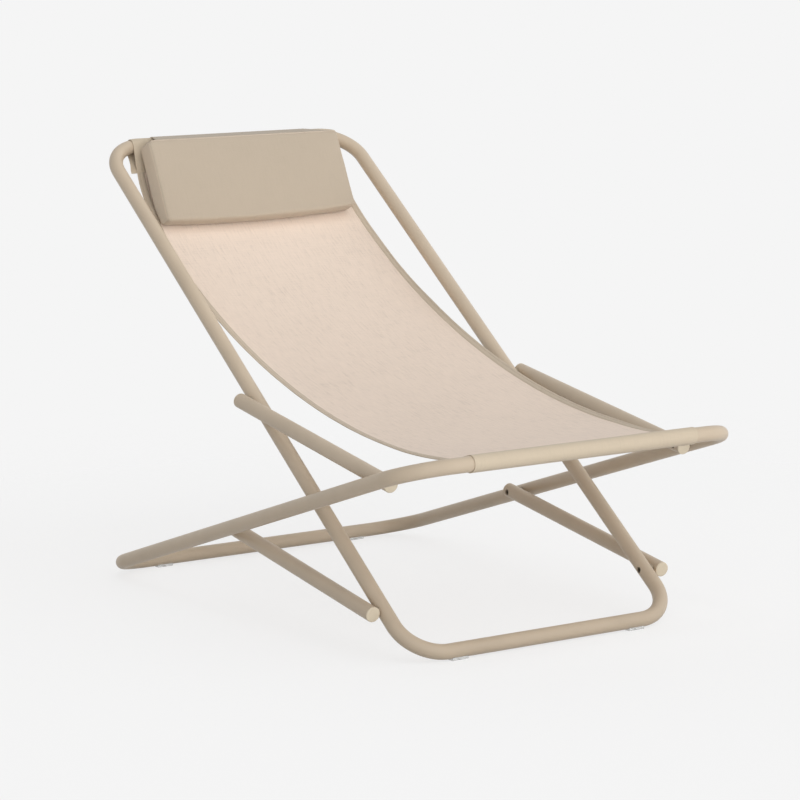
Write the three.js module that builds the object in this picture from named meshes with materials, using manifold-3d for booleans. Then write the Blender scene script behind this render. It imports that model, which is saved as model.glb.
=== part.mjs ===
// A folding deck chair: two bent tube loops joined by four straight links, which make a crossed
// four-bar fold on each side, with a sling hung between the loops and a head pillow over the top bar.
// X is across the chair, Y runs from the front to the back, Z is up, and the floor is at zero.
import * as THREE from "three";
import { mergeVertices } from "three/addons/utils/BufferGeometryUtils.js";
import Module from "manifold-3d";

const wasm = await Module();
wasm.setup();

// Sizes shared by the whole chair, in millimetres
const TUBE_DIAMETER = 25;
const TUBE_WALL = 1.5;
const TUBE_RADIUS = TUBE_DIAMETER / 2;
const BORE_RADIUS = TUBE_RADIUS - TUBE_WALL;
const CLEARANCE = 0.3; // gap between pieces that touch
const OVERRUN = 1; // how far a cutting tool runs past the face that it opens

// The back frame, a closed loop that leans back from the floor at the front
const BACK_WIDTH = 512; // between the centre lines of its sides
const BACK_LENGTH = 1258; // between the centre lines of its bars
const BACK_BEND = 68;
const BACK_ANGLE = 36.54;

// The seat frame, a wider closed loop that rises forward from the floor at the back
const SEAT_LENGTH = 1074;
const SEAT_BEND = 78;
const SEAT_RISE = 16.95;
const FLOOR_SPREAD = 931; // from the back frame's floor bar to the seat frame's floor bar

// The links, which lie between the sides of the two frames
const BACK_TO_LINK = 27.5; // between centre lines, across the chair
const LINK_TO_SEAT = 33.3;
const UPPER_PIVOT_ON_BACK = 587.7; // along the back frame, from its floor bar
const LOWER_PIVOT_ON_BACK = 102.3;
const UPPER_PIVOT_TO_FRONT_BAR = 125.3; // along the seat frame, from its front bar
const LOWER_PIVOT_ON_SEAT = 439.6; // from its floor bar
const UPPER_BACK_OVERHANG = 10.5; // from a pivot to the outer face of the link's end cap
const UPPER_FRONT_OVERHANG = 16;
const LOWER_BACK_OVERHANG = 13;
const LOWER_FRONT_OVERHANG = 13;

// The end caps of the links
const CAP_FLANGE = 2.5;
const CAP_EDGE_ROUND = 1.5;
const CAP_PLUG_LENGTH = 3;
const CAP_PLUG_TAPER = 0.6;

// The pivots: a shoulder screw sunk in the inner tube, a saddle spacer and an insert in the outer tube
const SCREW_RADIUS = 3;
const SCREW_SHOULDER_RADIUS = 4.2;
const SCREW_HEAD_RADIUS = 5;
const SCREW_HEAD_HEIGHT = 2.8;
const SCREW_SINK = 4.6; // from the tube's surface to the underside of the head
const SCREW_HEAD_ROUND = 0.8;
const SOCKET_ACROSS_FLATS = 4;
const SOCKET_DEPTH = 2;
const INSERT_RADIUS = 4.2;
const INSERT_LENGTH = 11;
const SPACER_RADIUS = 7;
const SPACER_EDGE_ROUND = 0.8;

// The glides under the two floor bars
const GLIDE_LENGTH = 30;
const GLIDE_WIDTH = 17;
const GLIDE_HEIGHT = 6;
const GLIDE_BASE = 1.7; // its thickness under the tube
const GLIDE_EDGE_ROUND = 1.2;
const FRONT_GLIDE_FROM_BEND = 16; // from the end of the floor bar's straight to the glide's middle
const REAR_GLIDE_FROM_BEND = 33.8;
const GLIDE_SCREW_RADIUS = 1.6;
const GLIDE_SCREW_LENGTH = 6;
const GLIDE_SCREW_HEAD_RADIUS = 3;
const GLIDE_SCREW_HEAD_HEIGHT = 0.8;

// The sling, a single cloth that is sewn back on itself round the top bar and round the front bar
const CLOTH_SIDE_GAP = 34; // from the cloth's edge to the centre line of the back frame's side
const SLEEVE_TRIM = 8.5; // how much shorter the sleeves are cut at each end, to clear the bends
const CLOTH_OFFSET = 8; // how far the cloth sits to the right of the middle
const CLOTH_THICKNESS = 1.1;
const BINDING_WIDTH = 13;
const BINDING_THICKNESS = 2;
const TOP_SEAM_REACH = 54; // from the bar's centre to the seam that closes the sleeve
const TOP_SEAM_ANGLE = 240.5;
const FRONT_SEAM_REACH = 57;
const FRONT_SEAM_ANGLE = -3;
const SEAM_TAIL = 7;
const SLING_TOP_ANGLE = 76.5; // how steeply the cloth leaves the top seam
const SLING_TOP_PULL = 128;
const SLING_FRONT_ANGLE = -4.2; // how it leaves the front seam, from level
const SLING_FRONT_PULL = 511;
const SLING_SPLIT_SHARE = 0.7; // where the back half of the cloth passes into the seat half

// The head pillow and the flap that hangs it over the top bar
const PILLOW_SIDE_GAP = 26; // from the pillow's end to the cloth's edge
const PILLOW_HEIGHT = 151;
const PILLOW_THICKNESS = 50;
const PILLOW_ANGLE = 65; // of its front face, from level
const PILLOW_FORWARD = 74; // from the top bar's centre to the pillow's centre
const PILLOW_DROP = 64;
const PILLOW_LEAST_THICKNESS = 16; // where the sling presses it, at its lower edge
const PILLOW_LIFT = 0.4; // its gap from the sling
const PILLOW_SIDE_DRAW = 3; // how far the middles of its sides are drawn in
const PILLOW_FLAT_SHARE = 0.84; // how much of its fullness stands along the edge of the flat middle
const PILLOW_SQUARENESS = 20; // the higher, the tighter its faces turn over at the edges
const FLAP_SIDE_GAP = 62; // from the flap's edge to the cloth's edge
const FLAP_THICKNESS = 1.2;
const FLAP_ROOT = 14; // from the middle of the pillow's top edge to the flap's seam, forwards
const FLAP_DROP = 60;
const FLAP_HEM = 14;
const FLAP_HEM_THICKNESS = 3;

// Fineness of the curved surfaces
const TUBE_SIDES = 24;
const BORE_SIDES = 12;
const BEND_STEPS = 8;
const LINK_SIDES = 24;
const SMALL_SIDES = 16;
const ROUND_STEPS = 2;
const SLEEVE_STEPS = 14;
const SLEEVE_BEND_STEPS = 3;
const SLING_STEPS = 20;
const PILLOW_COLUMNS = 26;
const PILLOW_ROWS = 12;

// Places worked out from the sizes above
const BAR_HEIGHT = TUBE_RADIUS + CLEARANCE + GLIDE_BASE;
const BACK_SIDE_X = BACK_WIDTH / 2;
const LINK_X = BACK_SIDE_X + BACK_TO_LINK;
const SEAT_SIDE_X = LINK_X + LINK_TO_SEAT;
const SEAT_ANGLE = 180 - SEAT_RISE;
const UPPER_PIVOT_ON_SEAT = SEAT_LENGTH - UPPER_PIVOT_TO_FRONT_BAR;
const FRONT_GLIDE_X = BACK_SIDE_X - BACK_BEND - FRONT_GLIDE_FROM_BEND;
const REAR_GLIDE_X = SEAT_SIDE_X - SEAT_BEND - REAR_GLIDE_FROM_BEND;
const CLOTH_WIDTH = BACK_WIDTH - 2 * CLOTH_SIDE_GAP;
const SLEEVE_WIDTH = CLOTH_WIDTH - 2 * SLEEVE_TRIM;
const PILLOW_WIDTH = CLOTH_WIDTH - 2 * PILLOW_SIDE_GAP;
const FLAP_WIDTH = CLOTH_WIDTH - 2 * FLAP_SIDE_GAP;
const SLEEVE_BORE = TUBE_RADIUS + CLEARANCE;
const SLEEVE_RADIUS = SLEEVE_BORE + CLOTH_THICKNESS;

// Directions and points in the side plane are THREE.Vector2(y, z).
const radians = THREE.MathUtils.degToRad;
const direction = (degrees) => new THREE.Vector2(Math.cos(radians(degrees)), Math.sin(radians(degrees)));
const along = (start, degrees, distance) => start.clone().addScaledVector(direction(degrees), distance);

const flapReach = SLEEVE_RADIUS + CLEARANCE + FLAP_HEM_THICKNESS;
const backRun = BACK_LENGTH * direction(BACK_ANGLE).x;
const seatRun = SEAT_LENGTH * -direction(SEAT_ANGLE).x;
const frontExtreme = FLOOR_SPREAD - seatRun - SLEEVE_RADIUS;
const backExtreme = backRun + flapReach;
const backStart = new THREE.Vector2(-(frontExtreme + backExtreme) / 2, BAR_HEIGHT);
const seatStart = new THREE.Vector2(backStart.x + FLOOR_SPREAD, BAR_HEIGHT);
const topBar = along(backStart, BACK_ANGLE, BACK_LENGTH);
const frontBar = along(seatStart, SEAT_ANGLE, SEAT_LENGTH);
const upperPivotOnBack = along(backStart, BACK_ANGLE, UPPER_PIVOT_ON_BACK);
const lowerPivotOnBack = along(backStart, BACK_ANGLE, LOWER_PIVOT_ON_BACK);
const upperPivotOnSeat = along(seatStart, SEAT_ANGLE, UPPER_PIVOT_ON_SEAT);
const lowerPivotOnSeat = along(seatStart, SEAT_ANGLE, LOWER_PIVOT_ON_SEAT);
const pillowCentre = topBar.clone().sub(new THREE.Vector2(PILLOW_FORWARD, PILLOW_DROP));

// Finishes
const framePaint = new THREE.MeshStandardMaterial({ color: 0xb9aa93, roughness: 0.5, metalness: 0.1 });
const capPlastic = new THREE.MeshStandardMaterial({ color: 0xcdbfa9, roughness: 0.6, metalness: 0 });
const spacerPlastic = new THREE.MeshStandardMaterial({ color: 0x8d8271, roughness: 0.6, metalness: 0 });
const steel = new THREE.MeshStandardMaterial({ color: 0x8a867f, roughness: 0.35, metalness: 1 });
const clearPlastic = new THREE.MeshStandardMaterial({ color: 0xe8e8e4, roughness: 0.25, metalness: 0 });
const slingCloth = new THREE.MeshStandardMaterial({ color: 0xe3d4c2, roughness: 0.9, metalness: 0 });
const pillowCloth = new THREE.MeshStandardMaterial({ color: 0xc8b9a5, roughness: 0.95, metalness: 0 });

// Solids: a closed geometry becomes a manifold solid for cuts and joins, and comes back as a geometry.
function solidOf(geometry) {
  const bare = geometry.clone();
  bare.deleteAttribute("normal");
  bare.deleteAttribute("uv");
  const merged = mergeVertices(bare, CLEARANCE / 1000);
  return new wasm.Manifold(
    new wasm.Mesh({
      numProp: 3,
      vertProperties: merged.attributes.position.array,
      triVerts: new Uint32Array(merged.index.array),
    }),
  );
}

function geometryOf(solid) {
  const cut = solid.getMesh();
  const geometry = new THREE.BufferGeometry();
  geometry.setAttribute("position", new THREE.BufferAttribute(cut.vertProperties, 3));
  geometry.setIndex(new THREE.BufferAttribute(cut.triVerts, 1));
  geometry.computeVertexNormals();
  return geometry;
}

function addPiece(parent, name, geometry, material) {
  const mesh = new THREE.Mesh(geometry, material);
  mesh.name = name;
  parent.add(mesh);
  return mesh;
}

// A straight round bar along X, between two places on that axis.
function barAlongX(radius, from, to, y = 0, z = 0, sides = SMALL_SIDES) {
  const bar = new THREE.CylinderGeometry(radius, radius, to - from, sides);
  bar.rotateZ(-Math.PI / 2);
  bar.translate((from + to) / 2, y, z);
  return bar;
}

// A straight round bar along Y, between two places on that axis.
function barAlongY(radius, from, to, x = 0, z = 0, sides = SMALL_SIDES) {
  const bar = new THREE.CylinderGeometry(radius, radius, to - from, sides);
  bar.translate(x, (from + to) / 2, z);
  return bar;
}

// The centre line of a frame loop: a rectangle with round corners in the XY plane. Its bars lie at
// y = 0 and y = length. Every straight is one step and every corner has the same number of steps.
class LoopPath extends THREE.Curve {
  constructor(width, length, bend) {
    super();
    const x = width / 2 - bend;
    this.bend = bend;
    this.corners = [
      { x, y: bend, start: -Math.PI / 2 },
      { x, y: length - bend, start: 0 },
      { x: -x, y: length - bend, start: Math.PI / 2 },
      { x: -x, y: bend, start: Math.PI },
    ];
    this.steps = this.corners.length * (BEND_STEPS + 1);
  }

  getUtoTmapping(u) {
    return u;
  }

  // The corner, and the angle within it, of a whole-numbered step.
  station(step) {
    const index = ((step % this.steps) + this.steps) % this.steps;
    const corner = this.corners[Math.floor(index / (BEND_STEPS + 1))];
    const angle = corner.start + ((index % (BEND_STEPS + 1)) / BEND_STEPS) * (Math.PI / 2);
    return { corner, angle };
  }

  pointAtStation({ corner, angle }) {
    return new THREE.Vector3(
      corner.x + this.bend * Math.cos(angle),
      corner.y + this.bend * Math.sin(angle),
      0,
    );
  }

  getPoint(t, target = new THREE.Vector3()) {
    const step = Math.floor(t * this.steps);
    const from = this.pointAtStation(this.station(step));
    const to = this.pointAtStation(this.station(step + 1));
    return target.copy(from).lerp(to, t * this.steps - step);
  }

  getTangent(t, target = new THREE.Vector3()) {
    const { angle } = this.station(Math.round(t * this.steps));
    return target.set(-Math.sin(angle), Math.cos(angle), 0);
  }
}

// A hollow tube loop, opened where the screws and inserts pass through its wall.
function loopTube(width, length, bend, holes) {
  const path = new LoopPath(width, length, bend);
  const outside = new THREE.TubeGeometry(path, path.steps, TUBE_RADIUS, TUBE_SIDES, true);
  const inside = new THREE.TubeGeometry(path, path.steps, BORE_RADIUS, BORE_SIDES, true);
  let tube = solidOf(outside).subtract(solidOf(inside));
  for (const hole of holes) tube = tube.subtract(solidOf(hole));
  return geometryOf(tube);
}

// A straight hollow tube along Y, with its cross holes.
function linkTube(from, to, holes) {
  const outside = barAlongY(TUBE_RADIUS, from, to, 0, 0, LINK_SIDES);
  const inside = barAlongY(BORE_RADIUS, from - OVERRUN, to + OVERRUN, 0, 0, BORE_SIDES);
  let tube = solidOf(outside).subtract(solidOf(inside));
  for (const hole of holes) tube = tube.subtract(solidOf(hole));
  return geometryOf(tube);
}

// The holes in a side tube for a screw, wide in its inner wall for the sunk head and narrow in its
// outer wall, and the hole in its inner wall for an insert. The centre of the tube is at x, and side
// is 1 on the right of the chair and -1 on the left.
function screwHoles(x, y, side) {
  const half = side * (TUBE_RADIUS + OVERRUN);
  const [headFrom, headTo] = [x - half, x].sort((a, b) => a - b);
  const [shankFrom, shankTo] = [x, x + half].sort((a, b) => a - b);
  return [
    barAlongX(SCREW_HEAD_RADIUS + CLEARANCE, headFrom, headTo, y),
    barAlongX(SCREW_RADIUS + CLEARANCE, shankFrom, shankTo, y),
  ];
}

function insertHole(x, y, side) {
  const [from, to] = [x - side * (TUBE_RADIUS + OVERRUN), x].sort((a, b) => a - b);
  return barAlongX(INSERT_RADIUS + CLEARANCE, from, to, y);
}

// The quarter-round edge of a turned profile, from one direction to the next.
function roundEdge(centreRadius, centreHeight, radius, fromDegrees, toDegrees) {
  return Array.from({ length: ROUND_STEPS + 1 }, (_, i) => {
    const angle = radians(fromDegrees + ((toDegrees - fromDegrees) * i) / ROUND_STEPS);
    return new THREE.Vector2(
      centreRadius + radius * Math.cos(angle),
      centreHeight + radius * Math.sin(angle),
    );
  });
}

// The plug that closes a link's end: its flange faces along +Y, with the tube's end at y = 0.
function endCap() {
  const plug = BORE_RADIUS * Math.cos(Math.PI / BORE_SIDES) - CLEARANCE;
  const profile = [
    new THREE.Vector2(0, -CAP_PLUG_LENGTH),
    new THREE.Vector2(plug - CAP_PLUG_TAPER, -CAP_PLUG_LENGTH),
    new THREE.Vector2(plug, -CAP_PLUG_LENGTH + CAP_PLUG_TAPER),
    new THREE.Vector2(plug, CLEARANCE),
    new THREE.Vector2(TUBE_RADIUS, CLEARANCE),
    ...roundEdge(TUBE_RADIUS - CAP_EDGE_ROUND, CAP_FLANGE - CAP_EDGE_ROUND, CAP_EDGE_ROUND, 0, 90),
    new THREE.Vector2(0, CAP_FLANGE),
  ];
  return new THREE.LatheGeometry(profile, LINK_SIDES);
}

// A button-head socket screw along X. Its head's underside is at x = 0, its shoulder runs outward to
// the far wall of the tube that it sits in, and its shank goes on from there.
function socketScrew(shankLength) {
  const boreFlat = BORE_RADIUS * Math.cos(Math.PI / BORE_SIDES);
  const farWall = Math.sqrt(boreFlat ** 2 - SCREW_SHOULDER_RADIUS ** 2);
  const shoulder = TUBE_RADIUS - SCREW_SINK + farWall - CLEARANCE;
  const profile = [
    new THREE.Vector2(0, shankLength),
    new THREE.Vector2(SCREW_RADIUS, shankLength),
    new THREE.Vector2(SCREW_RADIUS, shoulder),
    new THREE.Vector2(SCREW_SHOULDER_RADIUS, shoulder),
    new THREE.Vector2(SCREW_SHOULDER_RADIUS, 0),
    new THREE.Vector2(SCREW_HEAD_RADIUS, 0),
    ...roundEdge(
      SCREW_HEAD_RADIUS - SCREW_HEAD_ROUND,
      -SCREW_HEAD_HEIGHT + SCREW_HEAD_ROUND,
      SCREW_HEAD_ROUND,
      0,
      -90,
    ),
    new THREE.Vector2(0, -SCREW_HEAD_HEIGHT),
  ].reverse();
  const body = new THREE.LatheGeometry(profile, SMALL_SIDES);
  const socketRadius = SOCKET_ACROSS_FLATS / 2 / Math.cos(Math.PI / 6);
  const socket = new THREE.CylinderGeometry(socketRadius, socketRadius, SOCKET_DEPTH + OVERRUN, 6);
  socket.translate(0, -SCREW_HEAD_HEIGHT + (SOCKET_DEPTH - OVERRUN) / 2, 0);
  const screw = geometryOf(solidOf(body).subtract(solidOf(socket)));
  return screw.rotateZ(-Math.PI / 2);
}

// The threaded insert in an outer tube's wall: a ring along X whose open mouth is at x = 0.
function threadedInsert() {
  const bore = SCREW_RADIUS + CLEARANCE;
  const profile = [
    new THREE.Vector2(bore, 0),
    new THREE.Vector2(INSERT_RADIUS, 0),
    new THREE.Vector2(INSERT_RADIUS, INSERT_LENGTH),
    new THREE.Vector2(bore, INSERT_LENGTH),
    new THREE.Vector2(bore, 0),
  ];
  return new THREE.LatheGeometry(profile, SMALL_SIDES).rotateZ(-Math.PI / 2);
}

// A spacer ring along X with one end hollowed to sit on the tube that carries it. That tube's centre
// is at x = 0 with its length along Y, and reach is the place of the flat end.
function saddleSpacer(reach) {
  const bore = SCREW_RADIUS + CLEARANCE;
  const profile = [
    new THREE.Vector2(bore, 0),
    new THREE.Vector2(SPACER_RADIUS, 0),
    ...roundEdge(SPACER_RADIUS - SPACER_EDGE_ROUND, reach - SPACER_EDGE_ROUND, SPACER_EDGE_ROUND, 0, 90),
    new THREE.Vector2(bore, reach),
    new THREE.Vector2(bore, 0),
  ];
  const ring = new THREE.LatheGeometry(profile, SMALL_SIDES).rotateZ(-Math.PI / 2);
  const seat = barAlongY(
    TUBE_RADIUS + CLEARANCE,
    -SPACER_RADIUS - OVERRUN,
    SPACER_RADIUS + OVERRUN,
    0,
    0,
    LINK_SIDES,
  );
  return geometryOf(solidOf(ring).subtract(solidOf(seat)));
}

// One pivot. The inner tube's group carries the screw and the spacer, and the outer tube's group
// carries the insert. Both groups have their tube along Y and X across the chair.
function addPivot({ name, side, inner, innerX, innerY, outer, outerX, outerY, open = false }) {
  const gap = outerX - innerX - TUBE_DIAMETER;
  const throughInner = TUBE_DIAMETER - SCREW_SINK + gap;
  const shankLength = open ? throughInner - CLEARANCE : throughInner + INSERT_LENGTH;
  const screw = addPiece(inner, `${name}_screw`, socketScrew(shankLength), steel);
  const reach = TUBE_RADIUS + gap - CLEARANCE;
  const spacer = addPiece(inner, `${name}_spacer`, saddleSpacer(reach), spacerPlastic);
  const insert = addPiece(outer, `${name}_insert`, threadedInsert(), steel);
  screw.position.set(side * (innerX - TUBE_RADIUS + SCREW_SINK), innerY, 0);
  spacer.position.set(side * innerX, innerY, 0);
  insert.position.set(side * (outerX - TUBE_RADIUS), outerY, 0);
  for (const piece of [screw, spacer, insert]) piece.rotation.y = side > 0 ? 0 : Math.PI;
}

// A clear glide under a floor bar, with its countersunk screw. Its underside is on the floor.
function glideBody() {
  const [half, round] = [GLIDE_WIDTH / 2, GLIDE_EDGE_ROUND];
  const outline = new THREE.Shape();
  outline.moveTo(-half + round, 0);
  outline.lineTo(half - round, 0);
  outline.lineTo(half, round);
  outline.lineTo(half, GLIDE_HEIGHT);
  outline.lineTo(-half, GLIDE_HEIGHT);
  outline.lineTo(-half, round);
  outline.closePath();
  const block = new THREE.ExtrudeGeometry(outline, { depth: GLIDE_LENGTH, bevelEnabled: false });
  block.translate(0, 0, -GLIDE_LENGTH / 2);
  block.rotateX(Math.PI / 2).rotateZ(Math.PI / 2);
  const reach = GLIDE_LENGTH / 2 + OVERRUN;
  const tube = barAlongX(TUBE_RADIUS + CLEARANCE, -reach, reach, 0, BAR_HEIGHT, TUBE_SIDES);
  const hole = countersunk(CLEARANCE, OVERRUN);
  return geometryOf(solidOf(block).subtract(solidOf(tube)).subtract(solidOf(hole)));
}

// The countersunk screw's form along Z, its head level with the glide's recess. The same form,
// enlarged all round and run past the floor, cuts its hole.
function countersunk(grow = 0, runOut = 0) {
  const shank = GLIDE_SCREW_RADIUS + grow;
  const head = GLIDE_SCREW_HEAD_RADIUS + grow;
  const level = CLEARANCE;
  const neck = level + GLIDE_SCREW_HEAD_HEIGHT;
  const profile = [
    new THREE.Vector2(0, level - runOut),
    new THREE.Vector2(head, level - runOut),
    new THREE.Vector2(head, level),
    new THREE.Vector2(shank, neck + grow),
    new THREE.Vector2(shank, level + GLIDE_SCREW_LENGTH),
    new THREE.Vector2(0, level + GLIDE_SCREW_LENGTH),
  ];
  if (!runOut) profile.splice(1, 1);
  return new THREE.LatheGeometry(profile, SMALL_SIDES).rotateX(Math.PI / 2);
}

function addGlide(parent, name, x, y) {
  const glide = addPiece(parent, `${name}_glide`, glideBody(), clearPlastic);
  const screw = addPiece(parent, `${name}_glide_screw`, geometryOf(solidOf(countersunk())), steel);
  for (const piece of [glide, screw]) piece.position.set(x, y, 0);
}

// A flat form in the side plane, extruded across the chair and centred on it. Its points are
// THREE.Vector2(y, z).
function acrossChair(outline, width) {
  const form = new THREE.ExtrudeGeometry(outline, { depth: width, bevelEnabled: false });
  form.translate(0, 0, -width / 2);
  return form.rotateX(Math.PI / 2).rotateZ(Math.PI / 2);
}

// The outline of a sewn sleeve: the cloth wraps a bar and closes at a seam, which is blunt and has
// half its thickness on each side.
function sleeveOutline(centre, radius, seam, half, seamAngle) {
  const toSeam = seam.clone().sub(centre);
  const towards = THREE.MathUtils.radToDeg(toSeam.angle());
  const sine = (radius - half) / toSeam.length();
  const spread = THREE.MathUtils.radToDeg(Math.acos(sine));
  const points = Array.from({ length: SLEEVE_STEPS + 1 }, (_, i) =>
    along(centre, towards + spread + ((360 - 2 * spread) * i) / SLEEVE_STEPS, radius),
  );
  points.push(along(seam, seamAngle - 90, half), along(seam, seamAngle + 90, half));
  return points;
}

// A sleeve that follows its bar into the start of the bends. Its rings of points stand at stations
// across the chair, and each station has an outer and an inner ring.
function sewnSleeve(centre, frame, seamReach, seamAngle) {
  const straight = frame.width / 2 - frame.bend;
  const outwards = (reach) => {
    const run = Math.max(0, reach - straight);
    const steps = run ? SLEEVE_BEND_STEPS : 0;
    const onBend = Array.from({ length: steps }, (_, i) => straight + (run * (i + 1)) / steps);
    return [Math.min(reach, straight), ...onBend];
  };
  const left = outwards(SLEEVE_WIDTH / 2 - CLOTH_OFFSET).map((x) => -x);
  const stations = [...left.reverse(), ...outwards(SLEEVE_WIDTH / 2 + CLOTH_OFFSET)];
  const rings = stations.map((x) => {
    const turn = Math.asin(Math.max(0, Math.abs(x) - straight) / frame.bend);
    const bar = along(centre, frame.angle + 180, frame.bend * (1 - Math.cos(turn)));
    const bore = TUBE_RADIUS / Math.cos(turn) + CLEARANCE;
    const seam = along(centre, seamAngle, seamReach);
    const innerSeam = along(centre, seamAngle, seamReach - SEAM_TAIL);
    return [
      sleeveOutline(bar, bore + CLOTH_THICKNESS, seam, CLOTH_THICKNESS, seamAngle),
      sleeveOutline(bar, bore, innerSeam, CLEARANCE / 2, seamAngle),
    ].map((ring) => ring.map((point) => new THREE.Vector3(x, point.x, point.y)));
  });
  return loftedWall(rings);
}

// A closed wall between an outer and an inner ring of points at each station along X.
function loftedWall(rings) {
  const size = rings[0][0].length;
  const positions = rings.flat(2).flatMap((point) => point.toArray());
  const at = (station, layer, i) => (station * 2 + layer) * size + (i % size);
  const faces = [];
  const quad = (a, b, c, d) => faces.push(a, b, c, a, c, d);
  for (let i = 0; i < size; i++) {
    for (let s = 0; s < rings.length - 1; s++) {
      quad(at(s, 0, i), at(s, 0, i + 1), at(s + 1, 0, i + 1), at(s + 1, 0, i));
      quad(at(s, 1, i + 1), at(s, 1, i), at(s + 1, 1, i), at(s + 1, 1, i + 1));
    }
    const last = rings.length - 1;
    quad(at(0, 0, i + 1), at(0, 0, i), at(0, 1, i), at(0, 1, i + 1));
    quad(at(last, 0, i), at(last, 0, i + 1), at(last, 1, i + 1), at(last, 1, i));
  }
  const wall = new THREE.BufferGeometry();
  wall.setAttribute("position", new THREE.Float32BufferAttribute(positions, 3));
  wall.setIndex(faces);
  wall.computeVertexNormals();
  return wall;
}

// The sling's curve from the top seam to the front seam, in the chair's space.
const topSeam = along(topBar, TOP_SEAM_ANGLE, TOP_SEAM_REACH + CLEARANCE);
const frontSeam = along(frontBar, FRONT_SEAM_ANGLE, FRONT_SEAM_REACH + CLEARANCE);
const slingCurve = new THREE.CubicBezierCurve(
  topSeam,
  along(topSeam, 180 + SLING_TOP_ANGLE, SLING_TOP_PULL),
  along(frontSeam, SLING_FRONT_ANGLE, SLING_FRONT_PULL),
  frontSeam,
);

// The points of a stretch of the sling between two shares of its length.
function slingPoints(from, to) {
  return Array.from({ length: SLING_STEPS + 1 }, (_, i) =>
    slingCurve.getPointAt(from + ((to - from) * i) / SLING_STEPS),
  );
}

// A stretch of the sling, with its bound edges thicker.
function slingPanel(points) {
  const [edge, bound] = [CLOTH_WIDTH / 2, CLOTH_WIDTH / 2 - BINDING_WIDTH];
  const [thin, thick] = [CLOTH_THICKNESS / 2, BINDING_THICKNESS / 2];
  const section = new THREE.Shape();
  section.moveTo(-edge, -thick);
  section.lineTo(-bound, -thick);
  section.lineTo(-bound, -thin);
  section.lineTo(bound, -thin);
  section.lineTo(bound, -thick);
  section.lineTo(edge, -thick);
  section.lineTo(edge, thick);
  section.lineTo(bound, thick);
  section.lineTo(bound, thin);
  section.lineTo(-bound, thin);
  section.lineTo(-bound, thick);
  section.lineTo(-edge, thick);
  section.closePath();
  return new THREE.ExtrudeGeometry(section, {
    steps: SLING_STEPS,
    extrudePath: new THREE.CatmullRomCurve3(points.map(({ x, y }) => new THREE.Vector3(0, x, y))),
  }).translate(CLOTH_OFFSET, 0, 0);
}

const slingBackPoints = slingPoints(0, SLING_SPLIT_SHARE - CLEARANCE / slingCurve.getLength());
const slingSeatPoints = slingPoints(SLING_SPLIT_SHARE, 1);

// The sling's upper surface as seen from the pillow, a height up the pillow and a depth through it.
function slingUnderPillow() {
  const up = direction(PILLOW_ANGLE);
  const forward = direction(PILLOW_ANGLE + 90);
  const points = slingBackPoints;
  return points.slice(0, -1).map((point, i) => {
    const tangent = points[i + 1].clone().sub(points[Math.max(0, i - 1)]).normalize();
    const off = new THREE.Vector2(tangent.y, -tangent.x);
    const raised = point.clone().addScaledVector(off, CLOTH_THICKNESS / 2 + PILLOW_LIFT).sub(pillowCentre);
    return { height: raised.dot(up), depth: raised.dot(forward) };
  });
}

// The pillow: two gently crowned faces that turn over tightly into its sides, with the sides drawn in
// between the corners, and the lower half pressed to a wedge by the sling that it lies on. X is
// across, Y is up its height and Z is through it.
function pillowForm() {
  const support = slingUnderPillow();
  const half = PILLOW_THICKNESS / 2;
  const supportDepth = (height) => {
    const i = support.findIndex((point) => point.height < height);
    if (i < 1) return i ? support[support.length - 1].depth : -half;
    const [above, below] = [support[i - 1], support[i]];
    const share = (above.height - height) / (above.height - below.height);
    return above.depth + share * (below.depth - above.depth);
  };
  const pressed = (height, depth) => {
    const rear = Math.max(-half, supportDepth(height));
    const front = Math.max(half, rear + PILLOW_LEAST_THICKNESS);
    return rear + ((depth + half) / PILLOW_THICKNESS) * (front - rear);
  };
  const side = (share) => Math.sin((Math.PI / 2) * share); // gathers the grid lines towards the edges
  const fullness = (share) => (1 - Math.abs(share) ** PILLOW_SQUARENESS) ** (1 / 4);
  const positions = [];
  const faces = [];
  const indexOf = new Map();
  const vertex = (column, row, front) => {
    const rim = column === 0 || column === PILLOW_COLUMNS || row === 0 || row === PILLOW_ROWS;
    const key = `${column},${row},${rim || front}`;
    if (indexOf.has(key)) return indexOf.get(key);
    const u = side((2 * column) / PILLOW_COLUMNS - 1);
    const v = side((2 * row) / PILLOW_ROWS - 1);
    const crown = PILLOW_FLAT_SHARE + (1 - PILLOW_FLAT_SHARE) * (1 - u * u) * (1 - v * v);
    const depth = (PILLOW_THICKNESS / 2) * fullness(u) * fullness(v) * crown;
    const height = v * (PILLOW_HEIGHT / 2 - PILLOW_SIDE_DRAW * (1 - u * u));
    positions.push(
      u * (PILLOW_WIDTH / 2 - PILLOW_SIDE_DRAW * (1 - v * v)),
      height,
      pressed(height, front ? depth : -depth),
    );
    indexOf.set(key, positions.length / 3 - 1);
    return indexOf.get(key);
  };
  for (const front of [true, false]) {
    for (let column = 0; column < PILLOW_COLUMNS; column++) {
      for (let row = 0; row < PILLOW_ROWS; row++) {
        const a = vertex(column, row, front);
        const b = vertex(column + 1, row, front);
        const c = vertex(column + 1, row + 1, front);
        const d = vertex(column, row + 1, front);
        faces.push(...(front ? [a, b, c, a, c, d] : [a, c, b, a, d, c]));
      }
    }
  }
  const form = new THREE.BufferGeometry();
  form.setAttribute("position", new THREE.Float32BufferAttribute(positions, 3));
  form.setIndex(faces);
  form.computeVertexNormals();
  return form;
}

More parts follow.
